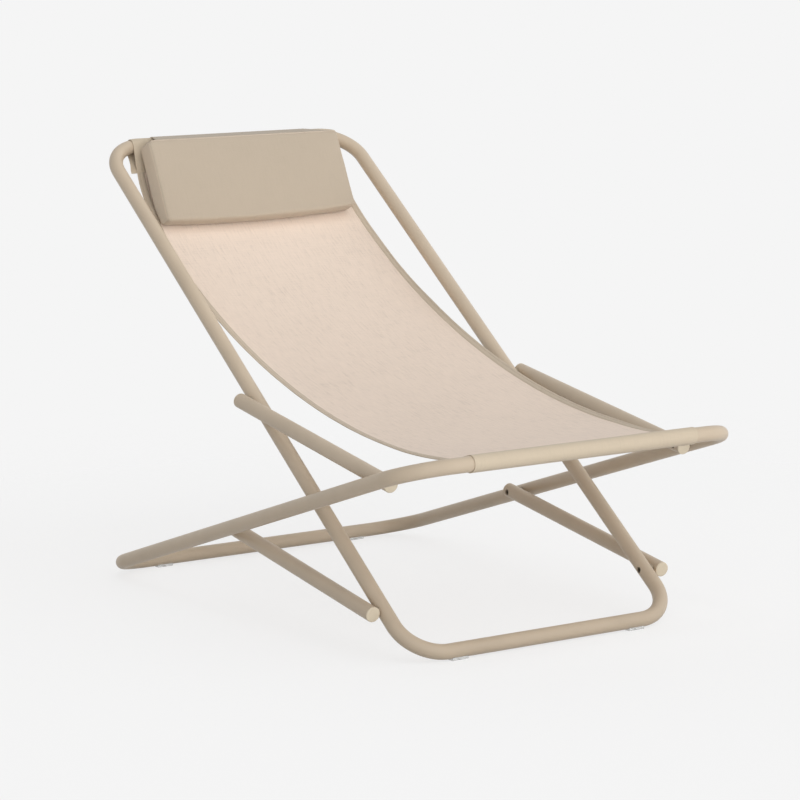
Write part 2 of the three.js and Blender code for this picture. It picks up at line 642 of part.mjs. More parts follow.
// The flap that hangs the pillow: it leaves the front of the pillow's top edge, passes over the sleeve
// on the top bar and hangs behind it, with a thicker hem.
function pillowFlap() {
  const inner = SLEEVE_RADIUS + CLEARANCE;
  const outer = inner + FLAP_THICKNESS;
  const half = FLAP_THICKNESS / 2;
  const topEdge = along(pillowCentre, PILLOW_ANGLE, PILLOW_HEIGHT / 2 + CLEARANCE + half);
  const root = along(topEdge, PILLOW_ANGLE + 90, FLAP_ROOT);
  const toRoot = root.clone().sub(topBar);
  const spread = THREE.MathUtils.radToDeg(Math.acos((inner + half) / toRoot.length()));
  const front = THREE.MathUtils.radToDeg(toRoot.angle()) - spread;
  const rear = 0;
  const arc = (radius, from, to) =>
    Array.from({ length: SLEEVE_STEPS + 1 }, (_, i) =>
      along(topBar, from + ((to - from) * i) / SLEEVE_STEPS, radius),
    );
  const below = (radius, drop) => along(topBar, rear, radius).sub(new THREE.Vector2(0, drop));
  const hem = FLAP_DROP - FLAP_HEM;
  const outline = new THREE.Shape([
    along(root, front, half),
    ...arc(outer, front, rear),
    below(outer, hem),
    below(inner + FLAP_HEM_THICKNESS, hem),
    below(inner + FLAP_HEM_THICKNESS, FLAP_DROP),
    below(inner, FLAP_DROP),
    ...arc(inner, rear, front),
    along(root, front + 180, half),
  ]);
  return acrossChair(outline, FLAP_WIDTH);
}

// Assembly
const chair = new THREE.Group();

// The group of a tube: its own Y runs along the tube from a start point, in the side plane.
function tubeGroup(start, degrees) {
  const group = new THREE.Group();
  group.position.set(0, start.x, start.y);
  group.rotation.x = radians(degrees);
  chair.add(group);
  return group;
}

const sides = [
  { label: "left", side: -1 },
  { label: "right", side: 1 },
];

const backFrame = tubeGroup(backStart, BACK_ANGLE);
const seatFrame = tubeGroup(seatStart, SEAT_ANGLE);

// The place in a loop's own plane of a hole that runs down to a glide's screw.
function glideHole(x, group) {
  const hole = new THREE.CylinderGeometry(
    GLIDE_SCREW_RADIUS + CLEARANCE,
    GLIDE_SCREW_RADIUS + CLEARANCE,
    TUBE_RADIUS,
    SMALL_SIDES,
  );
  hole.rotateX(Math.PI / 2).translate(x, 0, -TUBE_RADIUS);
  return hole.rotateX(-group.rotation.x);
}

const backHoles = sides.flatMap(({ side }) => [
  ...screwHoles(side * BACK_SIDE_X, UPPER_PIVOT_ON_BACK, side),
  ...screwHoles(side * BACK_SIDE_X, LOWER_PIVOT_ON_BACK, side),
  glideHole(side * FRONT_GLIDE_X, backFrame),
]);
const seatHoles = sides.flatMap(({ side }) => [
  insertHole(side * SEAT_SIDE_X, UPPER_PIVOT_ON_SEAT, side),
  insertHole(side * SEAT_SIDE_X, LOWER_PIVOT_ON_SEAT, side),
  glideHole(side * REAR_GLIDE_X, seatFrame),
]);
addPiece(backFrame, "back_frame_tube", loopTube(BACK_WIDTH, BACK_LENGTH, BACK_BEND, backHoles), framePaint);
addPiece(
  seatFrame,
  "seat_frame_tube",
  loopTube(2 * SEAT_SIDE_X, SEAT_LENGTH, SEAT_BEND, seatHoles),
  framePaint,
);

// A pair of links, one on each side. Each runs from its pivot on one frame, at y = 0 of its group,
// to its pivot on the other.
function addLinks(name, start, end, startOverhang, endOverhang, startInBack) {
  const span = end.clone().sub(start);
  const pivotDistance = span.length();
  const group = tubeGroup(start, THREE.MathUtils.radToDeg(Math.atan2(span.y, span.x)));
  for (const { label, side } of sides) {
    const x = side * LINK_X;
    const [insertY, screwY] = startInBack ? [0, pivotDistance] : [pivotDistance, 0];
    const tube = addPiece(
      group,
      `${name}_link_${label}`,
      linkTube(CAP_FLANGE - startOverhang, pivotDistance + endOverhang - CAP_FLANGE, [
        insertHole(0, insertY, side),
        ...screwHoles(0, screwY, side),
      ]),
      framePaint,
    );
    const startCap = addPiece(group, `${name}_link_${label}_start_cap`, endCap(), capPlastic);
    const endCapPiece = addPiece(group, `${name}_link_${label}_end_cap`, endCap(), capPlastic);
    tube.position.x = x;
    startCap.position.set(x, CAP_FLANGE - startOverhang, 0);
    startCap.rotation.z = Math.PI;
    endCapPiece.position.set(x, pivotDistance + endOverhang - CAP_FLANGE, 0);
  }
  return { group, pivotDistance };
}

const upper = addLinks(
  "upper",
  upperPivotOnBack,
  upperPivotOnSeat,
  UPPER_BACK_OVERHANG,
  UPPER_FRONT_OVERHANG,
  true,
);
const lower = addLinks(
  "lower",
  lowerPivotOnBack,
  lowerPivotOnSeat,
  LOWER_FRONT_OVERHANG,
  LOWER_BACK_OVERHANG,
  true,
);

for (const { label, side } of sides) {
  const onBack = { side, inner: backFrame, innerX: BACK_SIDE_X, outerX: LINK_X, outerY: 0 };
  const onSeat = { side, innerX: LINK_X, outer: seatFrame, outerX: SEAT_SIDE_X };
  addPivot({
    ...onBack,
    name: `upper_back_pivot_${label}`,
    innerY: UPPER_PIVOT_ON_BACK,
    outer: upper.group,
  });
  addPivot({
    ...onBack,
    name: `lower_back_pivot_${label}`,
    innerY: LOWER_PIVOT_ON_BACK,
    outer: lower.group,
  });
  addPivot({
    ...onSeat,
    name: `upper_seat_pivot_${label}`,
    inner: upper.group,
    innerY: upper.pivotDistance,
    outerY: UPPER_PIVOT_ON_SEAT,
  });
  addPivot({
    ...onSeat,
    name: `lower_seat_pivot_${label}`,
    inner: lower.group,
    innerY: lower.pivotDistance,
    outerY: LOWER_PIVOT_ON_SEAT,
    open: true,
  });
  addGlide(chair, `front_${label}`, side * FRONT_GLIDE_X, backStart.x);
  addGlide(chair, `rear_${label}`, side * REAR_GLIDE_X, seatStart.x);
}

const backLoop = { width: BACK_WIDTH, bend: BACK_BEND, angle: BACK_ANGLE };
const seatLoop = { width: 2 * SEAT_SIDE_X, bend: SEAT_BEND, angle: SEAT_ANGLE };
addPiece(
  chair,
  "sling_top_sleeve",
  sewnSleeve(topBar, backLoop, TOP_SEAM_REACH, TOP_SEAM_ANGLE),
  slingCloth,
);
addPiece(
  chair,
  "sling_front_sleeve",
  sewnSleeve(frontBar, seatLoop, FRONT_SEAM_REACH, FRONT_SEAM_ANGLE),
  slingCloth,
);
addPiece(chair, "sling_back", slingPanel(slingBackPoints), slingCloth);
addPiece(chair, "sling_seat", slingPanel(slingSeatPoints), slingCloth);

const pillow = addPiece(chair, "pillow", pillowForm(), pillowCloth);
pillow.position.set(0, pillowCentre.x, pillowCentre.y);
pillow.rotation.x = radians(PILLOW_ANGLE);
addPiece(chair, "pillow_flap", pillowFlap(), pillowCloth);

export default chair;
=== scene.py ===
"""Looks of the folding deck chair: painted tube frames and links, sewn sling and head pillow."""

import logging
import math
from collections.abc import Callable, Iterator, Sequence
from contextlib import contextmanager
from dataclasses import dataclass, field
from enum import Enum
from functools import cache, cached_property

import bmesh
import bpy
from mathutils import Matrix, Vector, noise
from mathutils.bvhtree import BVHTree

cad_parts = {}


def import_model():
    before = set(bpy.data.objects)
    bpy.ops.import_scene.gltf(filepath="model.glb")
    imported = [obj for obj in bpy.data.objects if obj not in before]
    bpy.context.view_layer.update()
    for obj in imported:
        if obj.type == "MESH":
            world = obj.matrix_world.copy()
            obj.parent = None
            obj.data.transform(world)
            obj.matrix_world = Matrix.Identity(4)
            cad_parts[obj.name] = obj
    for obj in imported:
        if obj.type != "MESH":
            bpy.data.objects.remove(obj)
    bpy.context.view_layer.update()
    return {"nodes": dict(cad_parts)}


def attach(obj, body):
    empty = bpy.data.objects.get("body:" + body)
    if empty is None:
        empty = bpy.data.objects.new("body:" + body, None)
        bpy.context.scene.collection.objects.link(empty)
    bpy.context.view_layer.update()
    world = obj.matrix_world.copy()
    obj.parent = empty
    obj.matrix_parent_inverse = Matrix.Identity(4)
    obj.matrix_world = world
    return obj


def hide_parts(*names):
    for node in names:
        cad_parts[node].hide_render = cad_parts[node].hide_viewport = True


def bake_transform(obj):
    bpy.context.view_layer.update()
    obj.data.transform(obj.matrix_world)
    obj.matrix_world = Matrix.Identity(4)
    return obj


LOG = logging.getLogger("deck_chair")
MM = 0.001
TUBE_RADIUS = 12.5
TUBE_SIDES = 40
CLOTH_PLACE = "cloth_place"  # the mesh attribute that holds the place on the cloth, in metres
WHITE = (1.0, 1.0, 1.0, 1.0)

Pair = tuple[float, float]
Triple = tuple[float, float, float]
Colour = tuple[float, float, float, float]
Faces = list[tuple[int, ...]]
Socket = bpy.types.NodeSocket
Material = bpy.types.Material
Piece = bpy.types.Object


class Side(Enum):
    """The left or the right of the chair, as the sign of X."""

    LEFT = -1
    RIGHT = 1

    @property
    def label(self) -> str:
        """The word for this side in node and piece names."""
        return self.name.lower()


class Body(Enum):
    """The moving bodies of the chair."""

    BACK = "back_frame"
    SEAT = "seat_frame"
    UPPER_LEFT = "upper_link_left"
    UPPER_RIGHT = "upper_link_right"
    LOWER_LEFT = "lower_link_left"
    LOWER_RIGHT = "lower_link_right"


class Part(Enum):
    """The parts of the sling: from the back frame to the upper links, and on to the seat frame."""

    BACK = "back"
    SEAT = "seat"


# ---- finishes -------------------------------------------------------------------------------


def linear(red: int, green: int, blue: int) -> Colour:
    """A screen colour, 0 to 255 a channel, as a linear colour.

    Args:
        red: red channel.
        green: green channel.
        blue: blue channel.

    Returns:
        The linear colour with full alpha.
    """

    def channel(value: int) -> float:
        """One channel of it."""
        share = value / 255
        return share / 12.92 if share <= 0.04045 else ((share + 0.055) / 1.055) ** 2.4

    return channel(red), channel(green), channel(blue), 1.0


def grey(level: float) -> Colour:
    """A neutral linear colour."""
    return level, level, level, 1.0


class Nodes:
    """A small helper that adds and links the nodes of one tree."""

    def __init__(self, tree: bpy.types.NodeTree) -> None:
        """Starts with an empty tree."""
        self.tree = tree
        self.tree.nodes.clear()

    def add(self, kind: str, **settings: object) -> bpy.types.Node:
        """Adds a node.

        Args:
            kind: the node's type, without its ShaderNode prefix.
            settings: properties of the node; a name that is an input socket sets that socket.

        Returns:
            The new node.
        """
        node = self.tree.nodes.new("ShaderNode" + kind)
        for key, value in settings.items():
            if hasattr(node, key):
                setattr(node, key, value)
            else:
                node.inputs[key.replace("_", " ")].default_value = value
        return node

    def link(self, source: Socket, target: Socket) -> None:
        """Joins two sockets."""
        self.tree.links.new(source, target)

    def solid_place(self) -> Socket:
        """The place in the object's own space, in metres."""
        return self.add("TexCoord").outputs["Object"]

    def vector_math(self, operation: str, first: Socket, second: Sequence[float] = ()) -> bpy.types.Node:
        """A vector operation on a socket and, where it takes one, a fixed vector."""
        node = self.add("VectorMath", operation=operation)
        if second:
            node.inputs[1].default_value = second
        self.link(first, node.inputs[0])
        return node

    def scaled(self, vector: Socket, scale: Triple) -> Socket:
        """A vector times a scale per axis."""
        return self.vector_math("MULTIPLY", vector, scale).outputs[0]

    def noise(self, vector: Socket, scale: float, detail: float = 2.0, roughness: float = 0.5) -> Socket:
        """A noise value over a vector."""
        node = self.add("TexNoise", Scale=scale, Detail=detail, Roughness=roughness)
        self.link(vector, node.inputs["Vector"])
        return node.outputs["Fac"]

    def math(self, operation: str, *values: Socket | float) -> Socket:
        """A sum, product or other operation on up to three values."""
        node = self.add("Math", operation=operation)
        for socket, value in zip(node.inputs, values):
            if isinstance(value, Socket):
                self.link(value, socket)
            else:
                socket.default_value = value
        return node.outputs[0]

    def mixed(self, share: Socket, first: Socket, second: Socket) -> Socket:
        """Two shaders mixed by a share of the second."""
        node = self.add("MixShader")
        for source, target in zip((share, first, second), node.inputs):
            self.link(source, target)
        return node.outputs[0]

    def between(self, value: Socket, low: float, high: float, **settings: object) -> Socket:
        """How far a value lies from a low to a high one, held between 0 and 1."""
        node = self.add("MapRange", From_Min=low, From_Max=high, **settings)
        self.link(value, node.inputs["Value"])
        return node.outputs["Result"]

    def background_rays(self) -> tuple[Socket, Socket]:
        """Whether a ray comes from the camera, and whether it is one that has to see the background."""
        rays = self.add("LightPath").outputs
        seen = self.math("MAXIMUM", rays["Is Camera Ray"], rays["Is Glossy Ray"])
        return rays["Is Camera Ray"], self.math("MAXIMUM", seen, rays["Is Transmission Ray"])


class Graph(Nodes):
    """The nodes of one material round a principled shader."""

    def __init__(self, name: str) -> None:
        """Starts a material of this name."""
        self.material = bpy.data.materials.new(name)
        self.material.use_nodes = True
        super().__init__(self.material.node_tree)
        self.output = self.add("OutputMaterial")
        self.shader = self.add("BsdfPrincipled")
        self.link(self.shader.outputs[0], self.output.inputs[0])

    def set(self, **values: object) -> None:
        """Sets the shader's own sockets, with underscores for the spaces in their names."""
        for key, value in values.items():
            self.shader.inputs[key.replace("_", " ")].default_value = value

    def feed(self, **sources: Socket) -> None:
        """Links the shader's sockets, with underscores for the spaces in their names."""
        for key, source in sources.items():
            self.link(source, self.shader.inputs[key.replace("_", " ")])

    def place(self) -> Socket:
        """The place on the cloth, in metres."""
        return self.add("Attribute", attribute_name=CLOTH_PLACE).outputs["Vector"]

    def ramp(self, value: Socket, stops: Sequence[tuple[float, Colour]]) -> Socket:
        """Colours along a value from 0 to 1, given as pairs of a place and a colour."""
        node = self.add("ValToRGB")
        elements = node.color_ramp.elements
        while len(elements) < len(stops):
            elements.new(0.5)
        for element, (place, colour) in zip(elements, stops):
            element.position = place
            element.color = colour
        self.link(value, node.inputs[0])
        return node.outputs["Color"]

    def tint(self, value: Socket, colour: tuple[int, int, int], stops: dict[float, float]) -> Socket:
        """A screen colour made darker and lighter along a value.

        Args:
            value: the value from 0 to 1.
            colour: the screen colour.
            stops: the factor on the colour at each place.

        Returns:
            The colour socket.
        """
        base = linear(*colour)
        return self.ramp(value, [(place, shade(base, factor)) for place, factor in stops.items()])

    def multiplied(self, first: Socket, second: Socket | Colour, share: Socket | float) -> Socket:
        """A colour multiplied by another one, by a share."""
        node = self.add("MixRGB", blend_type="MULTIPLY")
        for value, socket in zip((share, first, second), node.inputs):
            if isinstance(value, Socket):
                self.link(value, socket)
            else:
                socket.default_value = value
        return node.outputs[0]

    def bump(self, height: Socket, distance: float, strength: float, below: Socket | None = None) -> Socket:
        """A bumped normal from a height.

        Args:
            height: the height, 0 to 1.
            distance: the height of 1, in metres.
            strength: how strong the bump is.
            below: another bumped normal under this one.

        Returns:
            The normal socket.
        """
        node = self.add("Bump", Strength=strength, Distance=distance)
        self.link(height, node.inputs["Height"])
        if below is not None:
            self.link(below, node.inputs["Normal"])
        return node.outputs[0]


def eased(share: float) -> float:
    """A share held between 0 and 1 and eased in and out."""
    held = min(max(share, 0.0), 1.0)
    return held * held * (3 - 2 * held)


def shade(colour: Colour, factor: float) -> Colour:
    """A colour made darker or lighter by a factor."""
    return tuple(min(1.0, channel * factor) for channel in colour[:3]) + (1.0,)


@dataclass(frozen=True)
class FramePaint:
    """Satin paint baked on the tubes: a fine orange-peel surface and slight clouding."""

    name: str = "frame_paint"
    colour: tuple[int, int, int] = (200, 183, 161)
    roughness: float = 0.42
    specular: float = 0.32
    cloud_scale: float = 9.0
    gloss_scale: float = 60.0
    gloss_spread: float = 0.1
    peel_scale: float = 1400.0
    peel_height: float = 0.00003

    def material(self) -> Material:
        """Builds the paint's nodes."""
        graph = Graph(self.name)
        place = graph.solid_place()
        cloud = graph.noise(place, self.cloud_scale, 3.0, 0.6)
        peel = graph.noise(place, self.peel_scale)
        gloss = graph.noise(place, self.gloss_scale)
        least = self.roughness - self.gloss_spread / 2
        graph.set(Specular_IOR_Level=self.specular)
        graph.feed(
            Base_Color=graph.tint(cloud, self.colour, {0.3: 0.95, 0.7: 1.04}),
            Roughness=graph.math("MULTIPLY_ADD", gloss, self.gloss_spread, least),
            Normal=graph.bump(peel, self.peel_height, 0.5),
        )
        return graph.material


@dataclass(frozen=True)
class MouldedPlastic:
    """Matt moulded plastic with a fine grain."""

    name: str
    colour: tuple[int, int, int]
    roughness: float = 0.55
    cloud_scale: float = 40.0
    grain_scale: float = 2600.0
    grain_height: float = 0.00002

    def material(self) -> Material:
        """Builds the plastic's nodes."""
        graph = Graph(self.name)
        place = graph.solid_place()
        graph.set(Roughness=self.roughness)
        graph.feed(
            Base_Color=graph.tint(graph.noise(place, self.cloud_scale), self.colour, {0.3: 0.96, 0.7: 1.03}),
            Normal=graph.bump(graph.noise(place, self.grain_scale, 1.0), self.grain_height, 0.5),
        )
        return graph.material


@dataclass(frozen=True)
class PlatedSteel:
    """Dark plated steel with faint turning marks."""

    name: str = "plated_steel"
    colour: tuple[int, int, int] = (92, 82, 69)
    roughness: float = 0.34
    mark_scale: float = 900.0
    mark_height: float = 0.00002

    def material(self) -> Material:
        """Builds the steel's nodes."""
        graph = Graph(self.name)
        marks = graph.noise(graph.solid_place(), self.mark_scale)
        graph.set(Metallic=1.0, Roughness=self.roughness)
        graph.feed(
            Base_Color=graph.tint(marks, self.colour, {0.2: 0.8, 0.8: 1.1}),
            Normal=graph.bump(marks, self.mark_height, 0.4),
        )
        return graph.material


@dataclass(frozen=True)
class ClearPlastic:
    """Clear soft plastic of the glides, slightly clouded and rubbed."""

    name: str = "clear_glide"
    colour: tuple[int, int, int] = (242, 242, 240)
    clarity: float = 0.5
    refraction: float = 1.45
    haze_scale: float = 300.0
    haze: Pair = (0.08, 0.2)  # the least roughness and how much the haze adds

    def material(self) -> Material:
        """Builds the clear plastic's nodes."""
        graph = Graph(self.name)
        haze = graph.noise(graph.solid_place(), self.haze_scale)
        graph.feed(Roughness=graph.math("MULTIPLY_ADD", haze, self.haze[1], self.haze[0]))
        graph.set(Base_Color=linear(*self.colour), Transmission_Weight=self.clarity, IOR=self.refraction)
        return graph.material


@dataclass(frozen=True)
class WovenCloth:
    """Woven outdoor cloth: warp and weft threads, slubs along the warp and soft clouding, with painted shade
    in the gaps between the threads and, where asked, painted light on the faces along the chair's width.
    """

    name: str
    colour: tuple[int, int, int]
    thread: float = 0.0011  # spacing of the threads, in metres
    slub: float = 0.1  # how much the slubs darken the cloth
    ends: float = 1.0  # painted light: how much paler the cloth is painted where it faces along the chair's width, as if lit more there
    relief: float = 0.00016
    roughness: float = 0.88
    sheen: float = 0.15
    specular: float = 0.2
    gap_shade_colour: Colour = (0.72, 0.7, 0.67, 1)  # painted shade in the gaps between the threads, multiplied on the cloth's own colour
    gap_shade_share: float = 0.35
    ribs: float = 0.7  # the share of the threads' ribs in the weave's height, beside its checks
    slub_scale: Triple = (290.0, 30.0, 290.0)
    cross_scale: Triple = (24.0, 380.0, 24.0)
    cloud_scale: float = 7.0
    shares: Triple = (0.6, 0.25, 0.15)  # of the slubs, the cross slubs and the clouds in the colour
    side_light_turn: Pair = (0.6, 0.95)  # how far the cloth has to face along the width to get the painted light

    def weave(self, graph: Graph, place: Socket) -> Socket:
        """The height of the threads, from 0 in the gaps to 1."""
        parts = graph.add("SeparateXYZ")
        graph.link(place, parts.inputs[0])
        turns = math.pi / self.thread
        across, length = (graph.math("SINE", graph.math("MULTIPLY", parts.outputs[i], turns)) for i in (0, 1))
        checker = graph.math("MULTIPLY", across, length)
        ribs = graph.math("MAXIMUM", graph.math("ABSOLUTE", across), graph.math("ABSOLUTE", length))
        ribs = graph.math("MULTIPLY", ribs, self.ribs)
        return graph.math("ADD", graph.math("MULTIPLY", checker, 1 - self.ribs), ribs)

    def material(self) -> Material:
        """Builds the weave's nodes on the cloth's own places."""
        graph = Graph(self.name)
        place = graph.place()
        weave = self.weave(graph, place)
        slubs = graph.noise(graph.scaled(place, self.slub_scale), 1.0, 3.0, 0.65)
        cross = graph.noise(graph.scaled(place, self.cross_scale), 1.0, 2.0, 0.6)
        layers = (slubs, cross, graph.noise(place, self.cloud_scale))
        parts = [graph.math("MULTIPLY", layer, share) for layer, share in zip(layers, self.shares)]
        mix = graph.math("ADD", graph.math("ADD", parts[0], parts[1]), parts[2])
        tint = graph.tint(mix, self.colour, {0.3: 1 - self.slub, 0.46: 1.0, 0.72: 1 + self.slub * 0.5})
        # Painted shade: the cloth is darkened in the gaps between the threads.
        gaps = graph.ramp(weave, [(0.0, self.gap_shade_colour), (0.6, WHITE)])
        paint = graph.multiplied(tint, gaps, self.gap_shade_share)
        # Painted light: faces that look along the chair's width are painted paler, as if lit more.
        if self.ends > 1.0:
            facing = graph.add("SeparateXYZ")
            graph.link(graph.add("TexCoord").outputs["Normal"], facing.inputs[0])
            share = graph.between(graph.math("ABSOLUTE", facing.outputs[0]), *self.side_light_turn)
            paint = graph.multiplied(paint, grey(self.ends), share)
        graph.set(
            Roughness=self.roughness,
            Sheen_Weight=self.sheen,
            Sheen_Roughness=0.5,
            Specular_IOR_Level=self.specular,
        )
        coarse = graph.bump(slubs, 0.0002, 0.3)
        graph.feed(Base_Color=paint, Normal=graph.bump(weave, self.relief, 0.6, coarse))
        return graph.material


@dataclass(frozen=True)
class Thread:
    """Twisted sewing thread."""

    name: str = "sewing_thread"
    colour: tuple[int, int, int] = (196, 180, 158)
    roughness: float = 0.7
    twist_scale: Triple = (3000.0, 900.0, 3000.0)

    def material(self) -> Material:
        """Builds the thread's nodes."""
        graph = Graph(self.name)
        twist = graph.noise(graph.scaled(graph.solid_place(), self.twist_scale), 1.0, 1.0)
        graph.feed(Base_Color=graph.tint(twist, self.colour, {0.3: 0.82, 0.7: 1.06}))
        graph.set(Roughness=self.roughness)
        return graph.material


@dataclass(frozen=True)
class Palette:
    """Every finish of the chair, each built once."""

    paint: Material
    cap: Material
    spacer: Material
    steel: Material
    clear: Material
    sling: Material
    sleeve: Material
    binding: Material
    pillow: Material
    pillow_seam: Material
    thread: Material

    @classmethod
    def build(cls) -> "Palette":
        """Makes all the materials."""
        return cls(
            paint=FramePaint().material(),
            cap=MouldedPlastic("cap_plastic", (220, 206, 182), 0.5).material(),
            spacer=MouldedPlastic("spacer_plastic", (160, 146, 125)).material(),
            steel=PlatedSteel().material(),
            clear=ClearPlastic().material(),
            sling=WovenCloth("sling_cloth", (235, 217, 201), slub=0.17).material(),
            sleeve=WovenCloth("sleeve_cloth", (206, 191, 169), slub=0.05).material(),
            binding=WovenCloth("edge_binding", (204, 189, 169), slub=0.06, thread=0.0007).material(),
            # The pillow's cloth gets painted light on its side faces (ends).
            pillow=WovenCloth("pillow_cloth", (184, 170, 152), slub=0.04, thread=0.0009, ends=1.4).material(),
            # The seam ridges are real; their cloth is painted paler than the pillow's, as a painted highlight
            # along them.
            pillow_seam=WovenCloth("pillow_seam_cloth", (206, 192, 176), slub=0.04, thread=0.0006).material(),
            thread=Thread().material(),
        )


# ---- meshes ---------------------------------------------------------------------------------


@contextmanager
def reshaping(mesh: bpy.types.Mesh) -> Iterator[bmesh.types.BMesh]:
    """Opens a mesh for editing and writes it back."""
    work = bmesh.new()
    work.from_mesh(mesh)
    yield work
    work.to_mesh(mesh)
    work.free()


def set_places(mesh: bpy.types.Mesh, places: Sequence[Pair]) -> None:
    """Gives each point of a mesh its place on the cloth, in metres."""
    attribute = mesh.attributes.new(CLOTH_PLACE, "FLOAT_VECTOR", "POINT")
    attribute.data.foreach_set("vector", [value for u, v in places for value in (u, v, 0.0)])


def new_piece(
    name: str,
    points: Sequence[Vector],
    faces: Faces,
    material: Material,
    places: Sequence[Pair] | None = None,
) -> Piece:
    """Makes a smooth-shaded object from points and faces.

    Args:
        name: the piece's name.
        points: its points in the row frame, in metres.
        faces: the faces as lists of point numbers.
        material: its finish.
        places: for cloth, each point's place on the cloth, in metres.

    Returns:
        The new object.
    """
    mesh = bpy.data.meshes.new(name)
    mesh.from_pydata([tuple(point) for point in points], [], faces)
    mesh.validate()
    with reshaping(mesh) as work:
        bmesh.ops.recalc_face_normals(work, faces=work.faces)
    mesh.shade_smooth()
    mesh.materials.append(material)
    if places is not None:
        set_places(mesh, places)
    piece = bpy.data.objects.new(name, mesh)
    bpy.context.scene.collection.objects.link(piece)
    return piece


def sharpen(piece: Piece, degrees: float = 38.0) -> None:
    """Marks the edges sharper than an angle, so that flat faces shade flat."""
    with reshaping(piece.data) as work:
        for edge in work.edges:
            if len(edge.link_faces) == 2 and edge.calc_face_angle(0.0) > math.radians(degrees):
                edge.smooth = False


def apply_modifiers(piece: Piece) -> None:
    """Replaces the piece's mesh by the result of its modifiers."""
    graph = bpy.context.evaluated_depsgraph_get()
    mesh = bpy.data.meshes.new_from_object(piece.evaluated_get(graph))
    piece.modifiers.clear()
    piece.data = mesh


def closer_at_ends(steps: int) -> list[float]:
    """Places from -1 to 1 that lie closer together towards both ends."""
    return [math.sin(math.pi / 2 * (2 * step / steps - 1)) for step in range(steps + 1)]


@cache
def circle(count: int) -> tuple[Pair, ...]:
    """Points that part a unit circle evenly."""
    turns = [2 * math.pi * i / count for i in range(count)]
    return tuple((math.cos(turn), math.sin(turn)) for turn in turns)


def grid_faces(
    rows: int, columns: int, wrap_rows: bool = False, wrap_columns: bool = False, base: int = 0
) -> Faces:
    """Faces of a grid of points numbered row by row.

    Args:
        rows: number of rows of points.
        columns: number of points in a row.
        wrap_rows: the last row joins the first.
        wrap_columns: the last column joins the first.
        base: number of the first point.

    Returns:
        The quads.
    """
    faces = []
    for row in range(rows if wrap_rows else rows - 1):
        here, below = base + row * columns, base + (row + 1) % rows * columns
        for column in range(columns if wrap_columns else columns - 1):
            across = (column + 1) % columns
            faces.append((here + column, here + across, below + across, below + column))
    return faces


def tube_faces(rows: int, sides: int, base: int = 0) -> Faces:
    """Faces of a grid wrapped round an axis and closed at both ends."""
    last = base + (rows - 1) * sides
    ends = [tuple(range(base, base + sides)), tuple(range(last, last + sides))]
    return grid_faces(rows, sides, wrap_columns=True, base=base) + ends


def sheet_faces(rows: int, columns: int) -> Faces:
    """Faces of a thin closed sheet, whose points are the grid of one side and then that of the other."""
    size = rows * columns
    sheet = grid_faces(rows, columns)
    faces = sheet + [tuple(index + size for index in reversed(face)) for face in sheet]
    rim = list(range(columns)) + [row * columns + columns - 1 for row in range(1, rows)]
    rim += [(rows - 1) * columns + column for column in range(columns - 2, -1, -1)]
    rim += [row * columns for row in range(rows - 2, 0, -1)]
    for point, following in zip(rim, rim[1:] + rim[:1]):
        faces.append((point, following, following + size, point + size))
    return faces


def turned(
    profile: Sequence[Pair], sides: int, place: Callable[[float, float, float], Vector]
) -> list[Vector]:
    """The points of a turned form.

    Args:
        profile: pairs of radius and height.
        sides: points round the axis.
        place: puts a point, as x, y and height, in the row frame.

    Returns:
        The points, ring by ring.
    """
    return [place(radius * x, radius * y, height) for radius, height in profile for x, y in circle(sides)]


# ---- the chair's layout ---------------------------------------------------------------------


